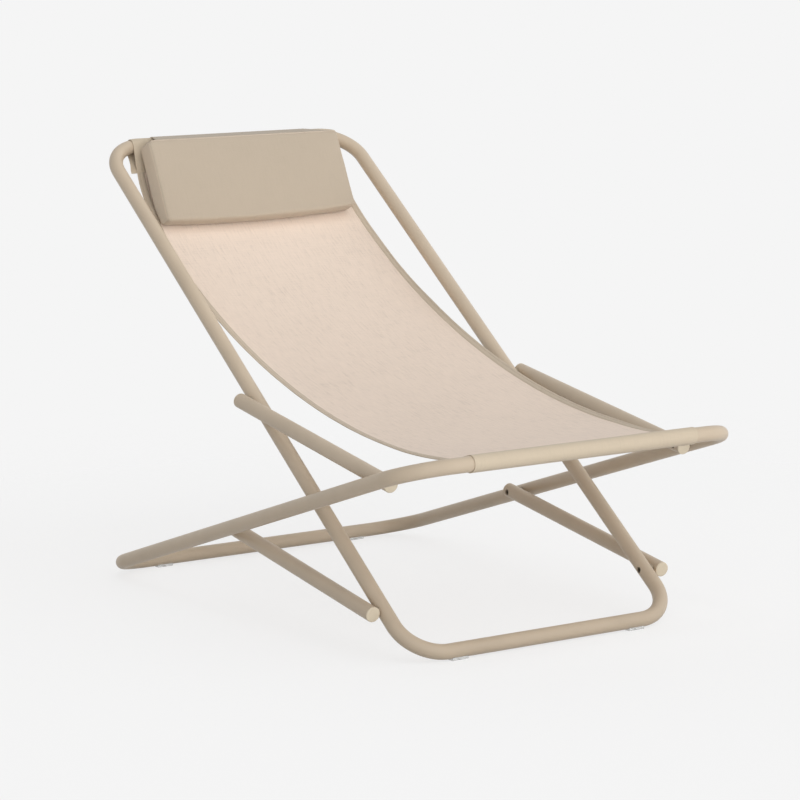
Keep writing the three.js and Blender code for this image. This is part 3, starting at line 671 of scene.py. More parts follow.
@dataclass(frozen=True)
class Layout:
    """The chair's driving sizes in millimetres, and the places that follow from them."""

    tube_radius: float = TUBE_RADIUS
    clearance: float = 0.3
    glide_base: float = 1.7
    back_width: float = 512.0
    back_length: float = 1258.0
    back_bend: float = 68.0
    back_angle: float = 36.54
    seat_length: float = 1074.0
    seat_bend: float = 78.0
    seat_rise: float = 16.95
    floor_spread: float = 931.0
    back_to_link: float = 27.5
    link_to_seat: float = 33.3
    upper_on_back: float = 587.7
    lower_on_back: float = 102.3
    upper_on_seat: float = 948.7
    lower_on_seat: float = 439.6
    upper_overhangs: Pair = (10.5, 16.0)  # past the pivots on the back and the seat
    lower_overhangs: Pair = (13.0, 13.0)
    cloth: float = 1.1
    flap_hem: float = 3.0
    sling_offset: float = 8.0  # how far the sling sits to the right of the middle
    sleeve_width: float = 427.0

    @staticmethod
    def direction(degrees: float) -> Vector:
        """A unit direction in the side plane, as y and z."""
        return Vector((math.cos(math.radians(degrees)), math.sin(math.radians(degrees))))

    def along(self, start: Vector, degrees: float, distance: float) -> Vector:
        """A point at a distance in a direction, in the side plane."""
        return start + self.direction(degrees) * distance

    @property
    def bar_height(self) -> float:
        """Height of a floor bar's centre."""
        return self.tube_radius + self.clearance + self.glide_base

    @property
    def link_x(self) -> float:
        """Place of the links across the chair."""
        return self.back_width / 2 + self.back_to_link

    @property
    def seat_x(self) -> float:
        """Place of the seat frame's sides across the chair."""
        return self.link_x + self.link_to_seat

    @property
    def seat_angle(self) -> float:
        """Direction of the seat frame from its floor bar."""
        return 180.0 - self.seat_rise

    @property
    def sleeve_radius(self) -> float:
        """Outer radius of the cloth round a bar."""
        return self.tube_radius + self.clearance + self.cloth

    @cached_property
    def back_start(self) -> Vector:
        """Centre of the back frame's floor bar."""
        run = self.seat_length * math.cos(math.radians(self.seat_rise))
        front = self.floor_spread - run - self.sleeve_radius
        back = self.back_length * self.direction(self.back_angle).x
        back += self.sleeve_radius + self.clearance + self.flap_hem
        return Vector((-(front + back) / 2, self.bar_height))

    @cached_property
    def seat_start(self) -> Vector:
        """Centre of the seat frame's floor bar."""
        return self.back_start + Vector((self.floor_spread, 0.0))

    @cached_property
    def top_bar(self) -> Vector:
        """Centre of the top bar."""
        return self.along(self.back_start, self.back_angle, self.back_length)

    @cached_property
    def front_bar(self) -> Vector:
        """Centre of the front bar."""
        return self.along(self.seat_start, self.seat_angle, self.seat_length)

    def on_back(self, distance: float) -> Vector:
        """A point along the back frame from its floor bar."""
        return self.along(self.back_start, self.back_angle, distance)

    def on_seat(self, distance: float) -> Vector:
        """A point along the seat frame from its floor bar."""
        return self.along(self.seat_start, self.seat_angle, distance)


def in_row(x: float, side_point: Vector) -> Vector:
    """A point in the row frame, in metres, from millimetres across and in the side plane."""
    return Vector((x * MM, side_point.x * MM, side_point.y * MM))


@dataclass(frozen=True)
class ScrewPocket:
    """The pocket in which a screw's head lies, cut in a tube's wall towards the middle of the chair."""

    radius: float = 5.3
    depth: float = 6.0
    overcut: float = 1.0  # how far the cutter stands out of the tube
    sides: int = 32

    def sink(self, piece: Piece, places: Sequence[tuple[float, Vector]]) -> None:
        """Cuts pockets in a tube.

        Args:
            piece: the tube.
            places: for each pocket, the tube's place across the chair and its point in the side plane.
        """
        profile = [(self.radius, TUBE_RADIUS + self.overcut), (self.radius, TUBE_RADIUS - self.depth)]
        points: list[Vector] = []
        faces: Faces = []
        for x, centre in places:
            inwards = -math.copysign(1.0, x)
            faces += tube_faces(2, self.sides, len(points))
            points += turned(
                profile, self.sides, lambda a, b, reach: in_row(x + inwards * reach, centre + Vector((a, b)))
            )
        cutter = new_piece(f"{piece.name}_cutter", points, faces, piece.data.materials[0])
        cut = piece.modifiers.new("pockets", "BOOLEAN")
        cut.operation, cut.solver, cut.object = "DIFFERENCE", "EXACT", cutter
        bpy.context.view_layer.update()
        apply_modifiers(piece)
        bpy.data.objects.remove(cutter)
        sharpen(piece)


@dataclass
class TubeLoop:
    """A closed loop of bent tube in a sloping plane, with smooth bends."""

    name: str
    node: str
    body: Body
    width: float
    length: float
    bend: float
    start: Vector
    angle: float
    bend_steps: int = 24
    straight_steps: int = 36
    pivots: tuple[Vector, ...] = ()  # the side-plane points at which screws are sunk in its sides

    def centre_line(self) -> list[tuple[Vector, Vector]]:
        """Stations along the loop as pairs of place and direction, in the loop's own plane."""
        half = self.width / 2 - self.bend
        corners = [
            (Vector((half, self.bend)), -90.0),
            (Vector((half, self.length - self.bend)), 0.0),
            (Vector((-half, self.length - self.bend)), 90.0),
            (Vector((-half, self.bend)), 180.0),
        ]
        stations: list[tuple[Vector, Vector]] = []
        for number, (centre, first) in enumerate(corners):
            for step in range(self.bend_steps + 1):
                out = Layout.direction(first + 90.0 * step / self.bend_steps)
                stations.append((centre + out * self.bend, out.orthogonal()))
            following, next_first = corners[(number + 1) % 4]
            target = following + Layout.direction(next_first) * self.bend
            last, heading = stations[-1]
            for step in range(1, self.straight_steps):
                stations.append((last.lerp(target, step / self.straight_steps), heading))
        return stations

    def build(self, paint: Material) -> Piece:
        """Makes the loop and lets it stand for its CAD node.

        Args:
            paint: the finish.

        Returns:
            The loop's object.
        """
        up = Layout.direction(self.angle)
        out = Layout.direction(self.angle + 90)
        points = []
        stations = self.centre_line()
        for place, heading in stations:
            side = Vector((heading.y, -heading.x))
            for aside, raised in circle(TUBE_SIDES):
                flat = place + side * (TUBE_RADIUS * aside)
                points.append(in_row(flat.x, self.start + up * flat.y + out * (TUBE_RADIUS * raised)))
        faces = grid_faces(len(stations), TUBE_SIDES, wrap_rows=True, wrap_columns=True)
        piece = new_piece(self.name, points, faces, paint)
        if self.pivots:
            places = [(side.value * self.width / 2, point) for point in self.pivots for side in Side]
            ScrewPocket().sink(piece, places)
        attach(piece, self.body.value)
        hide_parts(self.node)
        return piece


@dataclass
class Link:
    """A straight link tube with its two end caps."""

    name: str
    body: Body
    x: float
    start: Vector
    end: Vector
    start_overhang: float
    end_overhang: float
    bore: float = 11.0
    bevel: float = 0.3  # at the tube's ends
    tube_steps: int = 24
    flange: float = 2.5
    clearance: float = 0.3
    edge: float = 1.6  # radius of a cap's rim
    plug: float = 10.6
    plug_depth: float = 3.0
    plug_bevel: float = 0.6

    @property
    def ends(self) -> Pair:
        """Where the tube starts and ends, from the first pivot."""
        total = (self.end - self.start).length
        return self.flange - self.start_overhang, total + self.end_overhang - self.flange

    def placed(self, a: float, b: float, distance: float) -> Vector:
        """A point of the link.

        Args:
            a: millimetres across the chair from the link's centre line.
            b: millimetres square to the link in the side plane.
            distance: millimetres along the link from its first pivot.

        Returns:
            The point in the row frame.
        """
        heading = (self.end - self.start).normalized()
        return in_row(self.x + a, self.start + heading * distance + heading.orthogonal() * b)

    def tube(self, paint: Material) -> Piece:
        """Makes the tube, open at both ends with a real wall."""
        first, last = self.ends
        run = last - first - 2 * self.bevel
        between = [first + self.bevel + run * step / self.tube_steps for step in range(self.tube_steps + 1)]
        shoulder = TUBE_RADIUS - self.bevel
        profile = [(self.bore, first), (shoulder, first), *((TUBE_RADIUS, height) for height in between)]
        profile += [(shoulder, last), (self.bore, last)]
        faces = grid_faces(len(profile), TUBE_SIDES, wrap_rows=True, wrap_columns=True)
        piece = new_piece(f"{self.name}_tube", turned(profile, TUBE_SIDES, self.placed), faces, paint)
        ScrewPocket().sink(piece, [(self.x, self.end)])
        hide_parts(self.name)
        return piece

    def cap(self, at_end: bool, plastic: Material) -> Piece:
        """Makes one end cap with a softly rounded rim.

        Args:
            at_end: the cap at the link's second pivot, or at its first.
            plastic: the finish.

        Returns:
            The cap's object.
        """
        mouth, sign = self.ends[at_end], 1 if at_end else -1
        rim = [Layout.direction(a) * self.edge for a in range(0, 91, 15)]
        profile = [
            (self.plug - self.plug_bevel, -self.plug_depth),
            (self.plug, self.plug_bevel - self.plug_depth),
            (self.plug, self.clearance),
            (TUBE_RADIUS, self.clearance),
            *((TUBE_RADIUS - self.edge + turn.x, self.flange - self.edge + turn.y) for turn in rim),
            (TUBE_RADIUS * 0.5, self.flange + 0.02),
        ]
        points = turned(profile, TUBE_SIDES, lambda a, b, height: self.placed(a, b, mouth + sign * height))
        which = "end" if at_end else "start"
        piece = new_piece(f"{self.name}_{which}_plug", points, tube_faces(len(profile), TUBE_SIDES), plastic)
        sharpen(piece)
        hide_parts(f"{self.name}_{which}_cap")
        return piece

    def build(self, palette: Palette) -> list[Piece]:
        """Makes the link's pieces and lets them ride on its body."""
        made = [self.tube(palette.paint), self.cap(False, palette.cap), self.cap(True, palette.cap)]
        for piece in made:
            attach(piece, self.body.value)
        return made


@dataclass
class SteelAndPlastic:
    """The small CAD pieces that keep their shape: screws, spacers, inserts and glides."""

    nodes: dict[str, Piece]

    def dress(self, palette: Palette) -> int:
        """Gives each small node its finish.

        Args:
            palette: the finishes.

        Returns:
            How many nodes were dressed.
        """
        endings = {
            "_glide": palette.clear,
            "_screw": palette.steel,
            "_insert": palette.steel,
            "_spacer": palette.spacer,
        }
        count = 0
        for name, node in self.nodes.items():
            for ending, material in endings.items():
                if name.endswith(ending):
                    node.data.materials.clear()
                    node.data.materials.append(material)
                    count += 1
        return count


# ---- sewn pieces ----------------------------------------------------------------------------


@dataclass
class SlingShape:
    """The sling's line in the side plane, from the top seam to the front seam."""

    layout: Layout
    top_reach: float = 54.0
    top_angle: float = 240.5
    front_reach: float = 57.0
    front_angle: float = -3.0
    leave_top: float = 76.5
    pull_top: float = 128.0
    leave_front: float = -4.2
    pull_front: float = 511.0
    split: float = 0.7
    samples: int = 1600
    smoothing: int = 8  # samples on each side over which its direction is taken

    @cached_property
    def line(self) -> list[tuple[float, Vector]]:
        """Points along the sling with their distance from the top seam."""
        at, gap = self.layout.along, self.layout.clearance
        first = at(self.layout.top_bar, self.top_angle, self.top_reach + gap)
        last = at(self.layout.front_bar, self.front_angle, self.front_reach + gap)
        second = at(first, 180 + self.leave_top, self.pull_top)
        third = at(last, self.leave_front, self.pull_front)
        line: list[tuple[float, Vector]] = []
        distance = 0.0
        for i in range(self.samples + 1):
            t = i / self.samples
            point = first * (1 - t) ** 3 + second * (3 * t * (1 - t) ** 2)
            point = point + third * (3 * t * t * (1 - t)) + last * t**3
            if line:
                distance += (point - line[-1][1]).length
            line.append((distance, point))
        return line

    @property
    def length(self) -> float:
        """The cloth's length between its seams, in millimetres."""
        return self.line[-1][0]

    def at(self, distance: float) -> tuple[Vector, Vector]:
        """A point at a distance from the top seam, and the direction across the cloth there.

        Args:
            distance: millimetres from the top seam.

        Returns:
            The point, and the unit direction out of the sitter's side of the cloth.
        """
        share = min(max(distance / self.length, 0.0), 1.0)
        low, high = 0, self.samples
        while high - low > 1:
            middle = (low + high) // 2
            if self.line[middle][0] <= share * self.length:
                low = middle
            else:
                high = middle
        (d0, p0), (d1, p1) = self.line[low], self.line[high]
        point = p0.lerp(p1, (share * self.length - d0) / (d1 - d0))
        after, before = min(high + self.smoothing, self.samples), max(low - self.smoothing, 0)
        heading = (self.line[after][1] - self.line[before][1]).normalized()
        return point, Vector((heading.y, -heading.x))

    def distance_at_y(self, y: float) -> float:
        """The distance from the top seam at which the cloth passes a place along the chair."""
        return min(self.line, key=lambda entry: abs(entry[1].x - y))[0]


@dataclass(frozen=True)
class Stitching:
    """Rows of small raised stitches."""

    stitch: float = 2.6
    pitch: float = 4.2
    radius: float = 0.32
    tip: float = 0.12  # radius of a stitch's ends
    sides: int = 6

    def build(
        self, name: str, runs: Sequence[Callable[[float], Vector]], length: float, material: Material
    ) -> Piece:
        """Makes the rows.

        Args:
            name: the piece's name.
            runs: for each row, what gives the place at a distance along it.
            length: the rows' length in millimetres.
            material: the thread.

        Returns:
            One object that holds all the stitches.
        """
        rings = ((0.0, self.tip), (0.25, self.radius), (0.75, self.radius), (1.0, self.tip))
        points: list[Vector] = []
        faces: Faces = []
        count = int(length / self.pitch)
        for run in runs:
            for number in range(count):
                start = (number + 0.5) * length / count - self.stitch / 2
                marks = [run(start + self.stitch * share) for share, _ in rings]
                heading = (marks[-1] - marks[0]).normalized()
                side = heading.orthogonal().normalized()
                other = heading.cross(side)
                faces += tube_faces(len(rings), self.sides, len(points))
                for mark, (_, radius) in zip(marks, rings):
                    points += [mark + (side * x + other * y) * radius * MM for x, y in circle(self.sides)]
        return new_piece(name, points, faces, material)


@dataclass
class Sleeve:
    """A sewn sleeve that follows a bar into the bends of its frame, with the stitches that close it."""

    layout: Layout
    end: str  # "top" or "front"
    body: Body
    bar: Vector
    frame_width: float
    frame_bend: float
    frame_angle: float
    reach: float  # from the bar's centre to the end of the seam
    angle: float  # direction of the seam from the bar
    arc_ends_below: bool  # whether the outline's arc ends on the lower layer or starts there
    tail: float = 7.0  # from the end of the seam to the sleeve's bore
    columns: int = 60
    arc_steps: int = 44
    tail_steps: int = 6
    arc_askew: float = 3.0  # how far to the left the lower layer is sewn at the end of the arc
    tail_askew: float = 8.0  # how much further at the seam
    bore_gap: float = 0.15  # half the gap between the layers where the bore ends
    wave: float = 0.25
    row_offsets: Pair = (2.2, 5.6)  # of the stitches from the end of the seam
    tail_spread: float = 13.65  # how much the tail thickens over the reach, towards the bar

    @property
    def bend_start(self) -> float:
        """Where the bar starts to bend, from the chair's middle."""
        return self.frame_width / 2 - self.frame_bend

    def ring(self, bar: Vector, radius: float, seam: Vector, half: float) -> list[Vector]:
        """The outline of one face of the sleeve: round the bar and down to the blunt seam."""
        along = self.layout.along
        towards = math.degrees(math.atan2(seam.y - bar.y, seam.x - bar.x))
        spread = math.degrees(math.acos((radius - half) / (seam - bar).length))
        step, tail = (360 - 2 * spread) / self.arc_steps, self.tail_steps
        ring = [along(bar, towards + spread + step * i, radius) for i in range(self.arc_steps + 1)]
        low, high = along(seam, self.angle - 90, half), along(seam, self.angle + 90, half)
        first, final = ring[0], ring[-1]
        ring += [final.lerp(low, share / tail) for share in range(1, tail + 1)]
        ring += [high.lerp(first, share / tail) for share in range(tail)]
        return ring

    def askew(self, index: int) -> float:
        """How far a point of the outline sits to the left, since the lower layer is sewn askew."""
        if index <= self.arc_steps:
            share = index / self.arc_steps
            return self.arc_askew * eased(2 * (share if self.arc_ends_below else 1 - share) - 1)
        corner = self.arc_steps + self.tail_steps
        if (index <= corner) != self.arc_ends_below:
            return 0.0
        step = index - self.arc_steps if index <= corner else corner + self.tail_steps + 1 - index
        return self.arc_askew + self.tail_askew * min(step / self.tail_steps, 1.0) ** 2

    def drawn_in(self, x: float) -> tuple[Vector, float]:
        """The tube's centre and the sleeve's bore at a place across the chair."""
        layout = self.layout
        turn = math.asin(max(0.0, abs(x) - self.bend_start) / self.frame_bend)
        centre = layout.along(self.bar, self.frame_angle + 180, self.frame_bend * (1 - math.cos(turn)))
        return centre, layout.tube_radius / math.cos(turn) + layout.clearance

    def cloth(self, material: Material) -> Piece:
        """Makes the sleeve as a closed layer of cloth.

        Args:
            material: the cloth.

        Returns:
            The sleeve's object.
        """
        layout = self.layout
        points: list[Vector] = []
        places: list[Pair] = []
        size = self.arc_steps + 2 * self.tail_steps + 1
        for column in range(self.columns + 1):
            x = layout.sling_offset + layout.sleeve_width * (column / self.columns - 0.5)
            centre, bore = self.drawn_in(x)
            seam = layout.along(self.bar, self.angle, self.reach)
            inner_seam = layout.along(self.bar, self.angle, self.reach - self.tail)
            outer = self.ring(centre, bore + layout.cloth, seam, layout.cloth)
            inner = self.ring(centre, bore, inner_seam, self.bore_gap)
            run = 0.0
            for ring, wave in ((outer, self.wave), (inner, 0.0)):
                for index, point in enumerate(ring):
                    run += (point - ring[index - 1]).length if index else 0.0
                    lift = noise.noise(Vector((x * 0.011, index * 0.12, self.reach))) * wave
                    place = x - self.askew(index)
                    side = point + (point - centre).normalized() * lift
                    if index <= self.arc_steps:
                        side += self.drawn_in(place)[0] - centre
                    points.append(in_row(place, side))
                    places.append((x * MM, run * MM))

        def quad(first: tuple[int, int], second: tuple[int, int], index: int) -> tuple[int, ...]:
            """The face between two rings, each given as its column and its layer."""
            low, high = ((column * 2 + layer) * size for column, layer in (first, second))
            following = (index + 1) % size
            return low + index, low + following, high + following, high + index

        faces: Faces = []
        for index in range(size):
            for column in range(self.columns):
                faces += [quad((column, layer), (column + 1, layer), index) for layer in (0, 1)]
            faces += [quad((column, 0), (column, 1), index) for column in (0, self.columns)]
        piece = new_piece(f"{self.end}_sleeve", points, faces, material, places)
        sharpen(piece, 50)
        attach(piece, self.body.value)
        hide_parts(f"sling_{self.end}_sleeve")
        return piece

    def stitches(self, material: Material) -> Piece:
        """Makes the two rows of stitches that close the sleeve, on both faces of its tail."""
        layout = self.layout
        half = layout.sleeve_width / 2 - 4
        out = layout.direction(self.angle + 90)
        runs = []
        for offset in self.row_offsets:
            for face in (1, -1):
                height = layout.cloth + self.tail_spread / self.reach * offset + 0.05
                spot = layout.along(self.bar, self.angle, self.reach - offset) + out * (face * height)
                runs.append(lambda along, spot=spot: in_row(layout.sling_offset - half + along, spot))
        piece = Stitching().build(f"{self.end}_sleeve_stitches", runs, 2 * half, material)
        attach(piece, self.body.value)
        return piece


@dataclass
class Sling:
    """The sling cloth, its bound edges, its sleeves round the bars and its stitches."""

    layout: Layout
    shape: SlingShape
    width: float = 444.0
    widens: Pair = (240.0, 150.0)  # over what run from the top and the front seam
    hem: float = 1.5  # from the edge of the cloth to that of its binding
    binding: float = 14.4
    binding_thickness: float = 2.0
    seam_share: float = 0.36  # place of the outer row of stitches across the binding
    ripple: float = 0.25
    cup: float = 1.6
    cup_level: float = 0.35  # the share of the cup at which the cloth's middle lies below its line
    curl: float = 3.0  # how far the free edges turn up
    curl_width: float = 26.0
    curl_starts: Pair = (260.0, 40.0)  # from the top and front seam
    curl_run: float = 160.0
    bend_back: Pair = (124.0, -160.0)  # where the back part bends, from the upper pivot
    bend_seat: Pair = (42.0, -42.0)  # where the seat part bends, from its own upper pivot
    columns: int = 64
    row_length: float = 7.0

    def edge(self, distance: float) -> float:
        """Half the cloth's width at a distance from the top seam, less towards both sleeves."""
        narrow = self.layout.sleeve_width / 2
        top, front = self.widens
        full = min(eased(distance / top), eased((self.shape.length - distance) / front))
        return narrow + (self.width / 2 - narrow) * full

    def surface(self, x: float, distance: float, off: float = 0.0) -> Vector:
        """A point on the cloth or off it, in the row frame.

        Args:
            x: across the cloth from its middle line.
            distance: from the top seam.
            off: out of the sitter's side.

        Returns:
            The point, with the cloth's slight cup and the upturn of its free edges.
        """
        point, out = self.shape.at(distance)
        edge, length = self.edge(distance), self.shape.length
        free = math.sin(math.pi * min(max(distance / length, 0.0), 1.0))
        turned_up = max(0.0, abs(x) - edge + self.curl_width) / self.curl_width
        run = min(distance - self.curl_starts[0], length - self.curl_starts[1] - distance)
        cup = self.cup * free * (abs(x / edge) ** 4 - self.cup_level)
        cup += self.curl * turned_up**2 * eased(run / self.curl_run)
        return in_row(self.layout.sling_offset + x, point + out * (off + cup))

    def span(self, part: Part) -> Pair:
        """Where a part of the cloth starts and ends along it."""
        middle = self.shape.split * self.shape.length
        return (0.0, middle) if part is Part.BACK else (middle, self.shape.length)

    def rows(self, part: Part) -> list[float]:
        """The distances from the top seam at which a part has its rows of points."""
        first, last = self.span(part)
        count = int((last - first) / self.row_length)
        return [first + (last - first) * row / count for row in range(count + 1)]

    def cloth(self, part: Part, material: Material) -> Piece:
        """Makes one part of the cloth as a thin closed sheet.

        Args:
            part: the part of the sling.
            material: the weave.

        Returns:
            The sheet's object.
        """
        rows = self.rows(part)
        shares = closer_at_ends(self.columns)
        points: list[Vector] = []
        places: list[Pair] = []
        for face in (1, -1):
            for distance in rows:
                half = self.edge(distance) - self.hem
                for share in shares:
                    points.append(self.surface(half * share, distance, face * self.layout.cloth / 2))
                    places.append((half * share * MM, distance * MM))
        faces = sheet_faces(len(rows), self.columns + 1)
        piece = new_piece(f"sling_{part.value}_cloth", points, faces, material, places)
        sharpen(piece, 60)
        return piece

    def bound_edge(self, part: Part, side: Side, material: Material) -> Piece:
        """Makes the folded tape along one edge of one part of the cloth."""
        rows = self.rows(part)
        half, thin = self.binding_thickness / 2, self.layout.cloth / 2 + 0.05
        seam = self.binding * self.seam_share
        section = [(self.binding, thin), (self.binding - 0.6, half), (seam + 1.2, half), (seam, half - 0.3)]
        section += [(seam - 1.2, half + 0.1), (1.6, half + 0.1), (0.4, half * 0.6), (0.0, 0.0)]
        section += [(inset, -off) for inset, off in reversed(section[:-1])]
        points: list[Vector] = []
        places: list[Pair] = []
        for distance in rows:
            for inset, off in section:
                ripple = self.ripple * noise.noise(Vector((distance * 0.03, side.value * 7.0, off)))
                x = self.edge(distance) - inset
                points.append(self.surface(side.value * x, distance, off + ripple))
                places.append(((x + off * 3) * MM, distance * MM))
        faces = tube_faces(len(rows), len(section))
        piece = new_piece(f"sling_{part.value}_binding_{side.label}", points, faces, material, places)
        sharpen(piece, 70)
        return piece

    def edge_stitches(self, part: Part, material: Material) -> Piece:
        """Makes the two rows of stitches on each bound edge, on the sitter's side."""
        first, last = self.span(part)
        height = self.binding_thickness / 2 + 0.12

        def row(side: Side, inset: float) -> Callable[[float], Vector]:
            """What gives the places along one row."""
            return lambda along: self.surface(
                side.value * (self.edge(first + along) - inset), first + along, height
            )

        insets = (self.binding * self.seam_share, self.binding - 1.8)
        runs = [row(side, inset) for side in Side for inset in insets]
        return Stitching().build(f"sling_{part.value}_edge_stitches", runs, last - first, material)

    def bent(self, piece: Piece, part: Part) -> None:
        """Works out where a piece of the back or seat part would bend between the bodies that it joins, and
        bakes its placement into its mesh; it does not let the piece bend.
        """
        layout, shape = self.layout, self.shape
        if part is Part.BACK:
            first, second, reach = Body.BACK, Body.UPPER_LEFT, self.bend_back
            pivot = layout.on_back(layout.upper_on_back)
        else:
            first, second, reach = Body.UPPER_LEFT, Body.SEAT, self.bend_seat
            pivot = layout.on_seat(layout.upper_on_seat)
        start, end = (in_row(0, shape.at(shape.distance_at_y(pivot.x + shift))[0]) for shift in reach)
        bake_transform(piece)

    def sleeves(self) -> list[Sleeve]:
        """The sleeves round the top bar and the front bar."""
        lay, shape = self.layout, self.shape
        return [
            Sleeve(
                lay, "top", Body.BACK, lay.top_bar, lay.back_width, lay.back_bend, lay.back_angle,
                shape.top_reach, shape.top_angle, arc_ends_below=False,
            ),
            Sleeve(
                lay, "front", Body.SEAT, lay.front_bar, 2 * lay.seat_x, lay.seat_bend, lay.seat_angle,
                shape.front_reach, shape.front_angle, arc_ends_below=True,
            ),
        ]

    def build(self, palette: Palette) -> list[Piece]:
        """Makes the whole sling."""
        made: list[Piece] = []
        for part, sleeve in zip(Part, ("top_sleeve", "front_sleeve")):
            cloth = self.cloth(part, palette.sling)
            extras = [self.bound_edge(part, side, palette.binding) for side in Side]
            extras.append(self.edge_stitches(part, palette.thread))
            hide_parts(f"sling_{part.value}")
            for piece in (cloth, *extras):
                self.bent(piece, part)
            first, last = self.span(part)
            made += [cloth, *extras]
        sleeves = self.sleeves()
        cloths = [sleeve.cloth(palette.sleeve) for sleeve in sleeves]
        stitches = [sleeve.stitches(palette.thread) for sleeve in sleeves]
        return [*made, *cloths, *stitches]


@dataclass(frozen=True)
class Swelling:
    """The cloth simulation in which the pillow's cover swells."""

    quality: int = 6
    mass: float = 0.3
    stretch_stiffness: float = 25.0
    shear_stiffness: float = 10.0
    bending_stiffness: float = 0.6
    pressure: float = 4.0
    frames: int = 20

    def run(self, piece: Piece, hold: Callable[[Vector], float]) -> None:
        """Swells a piece as pressurised cloth.

        Args:
            piece: the piece.
            hold: how firmly the cloth is held at a place, 0 to 1.
        """
        seams = piece.vertex_groups.new(name="seams")
        for vertex in piece.data.vertices:
            seams.add([vertex.index], hold(vertex.co), "REPLACE")
        cloth = piece.modifiers.new("swell", "CLOTH")
        settings = cloth.settings
        settings.vertex_group_mass = seams.name
        settings.quality = self.quality
        settings.mass = self.mass
        settings.tension_stiffness = settings.compression_stiffness = self.stretch_stiffness
        settings.shear_stiffness = self.shear_stiffness
        settings.bending_stiffness = self.bending_stiffness
        settings.use_pressure = True
        settings.uniform_pressure_force = self.pressure
        settings.effector_weights.gravity = 0.0
        cloth.collision_settings.use_collision = False
        cloth.collision_settings.use_self_collision = False
        cloth.point_cache.frame_start, cloth.point_cache.frame_end = 1, self.frames
        scene = bpy.context.scene
        for number in range(self.frames):
            scene.frame_set(number + 1)
        apply_modifiers(piece)
        scene.frame_set(1)


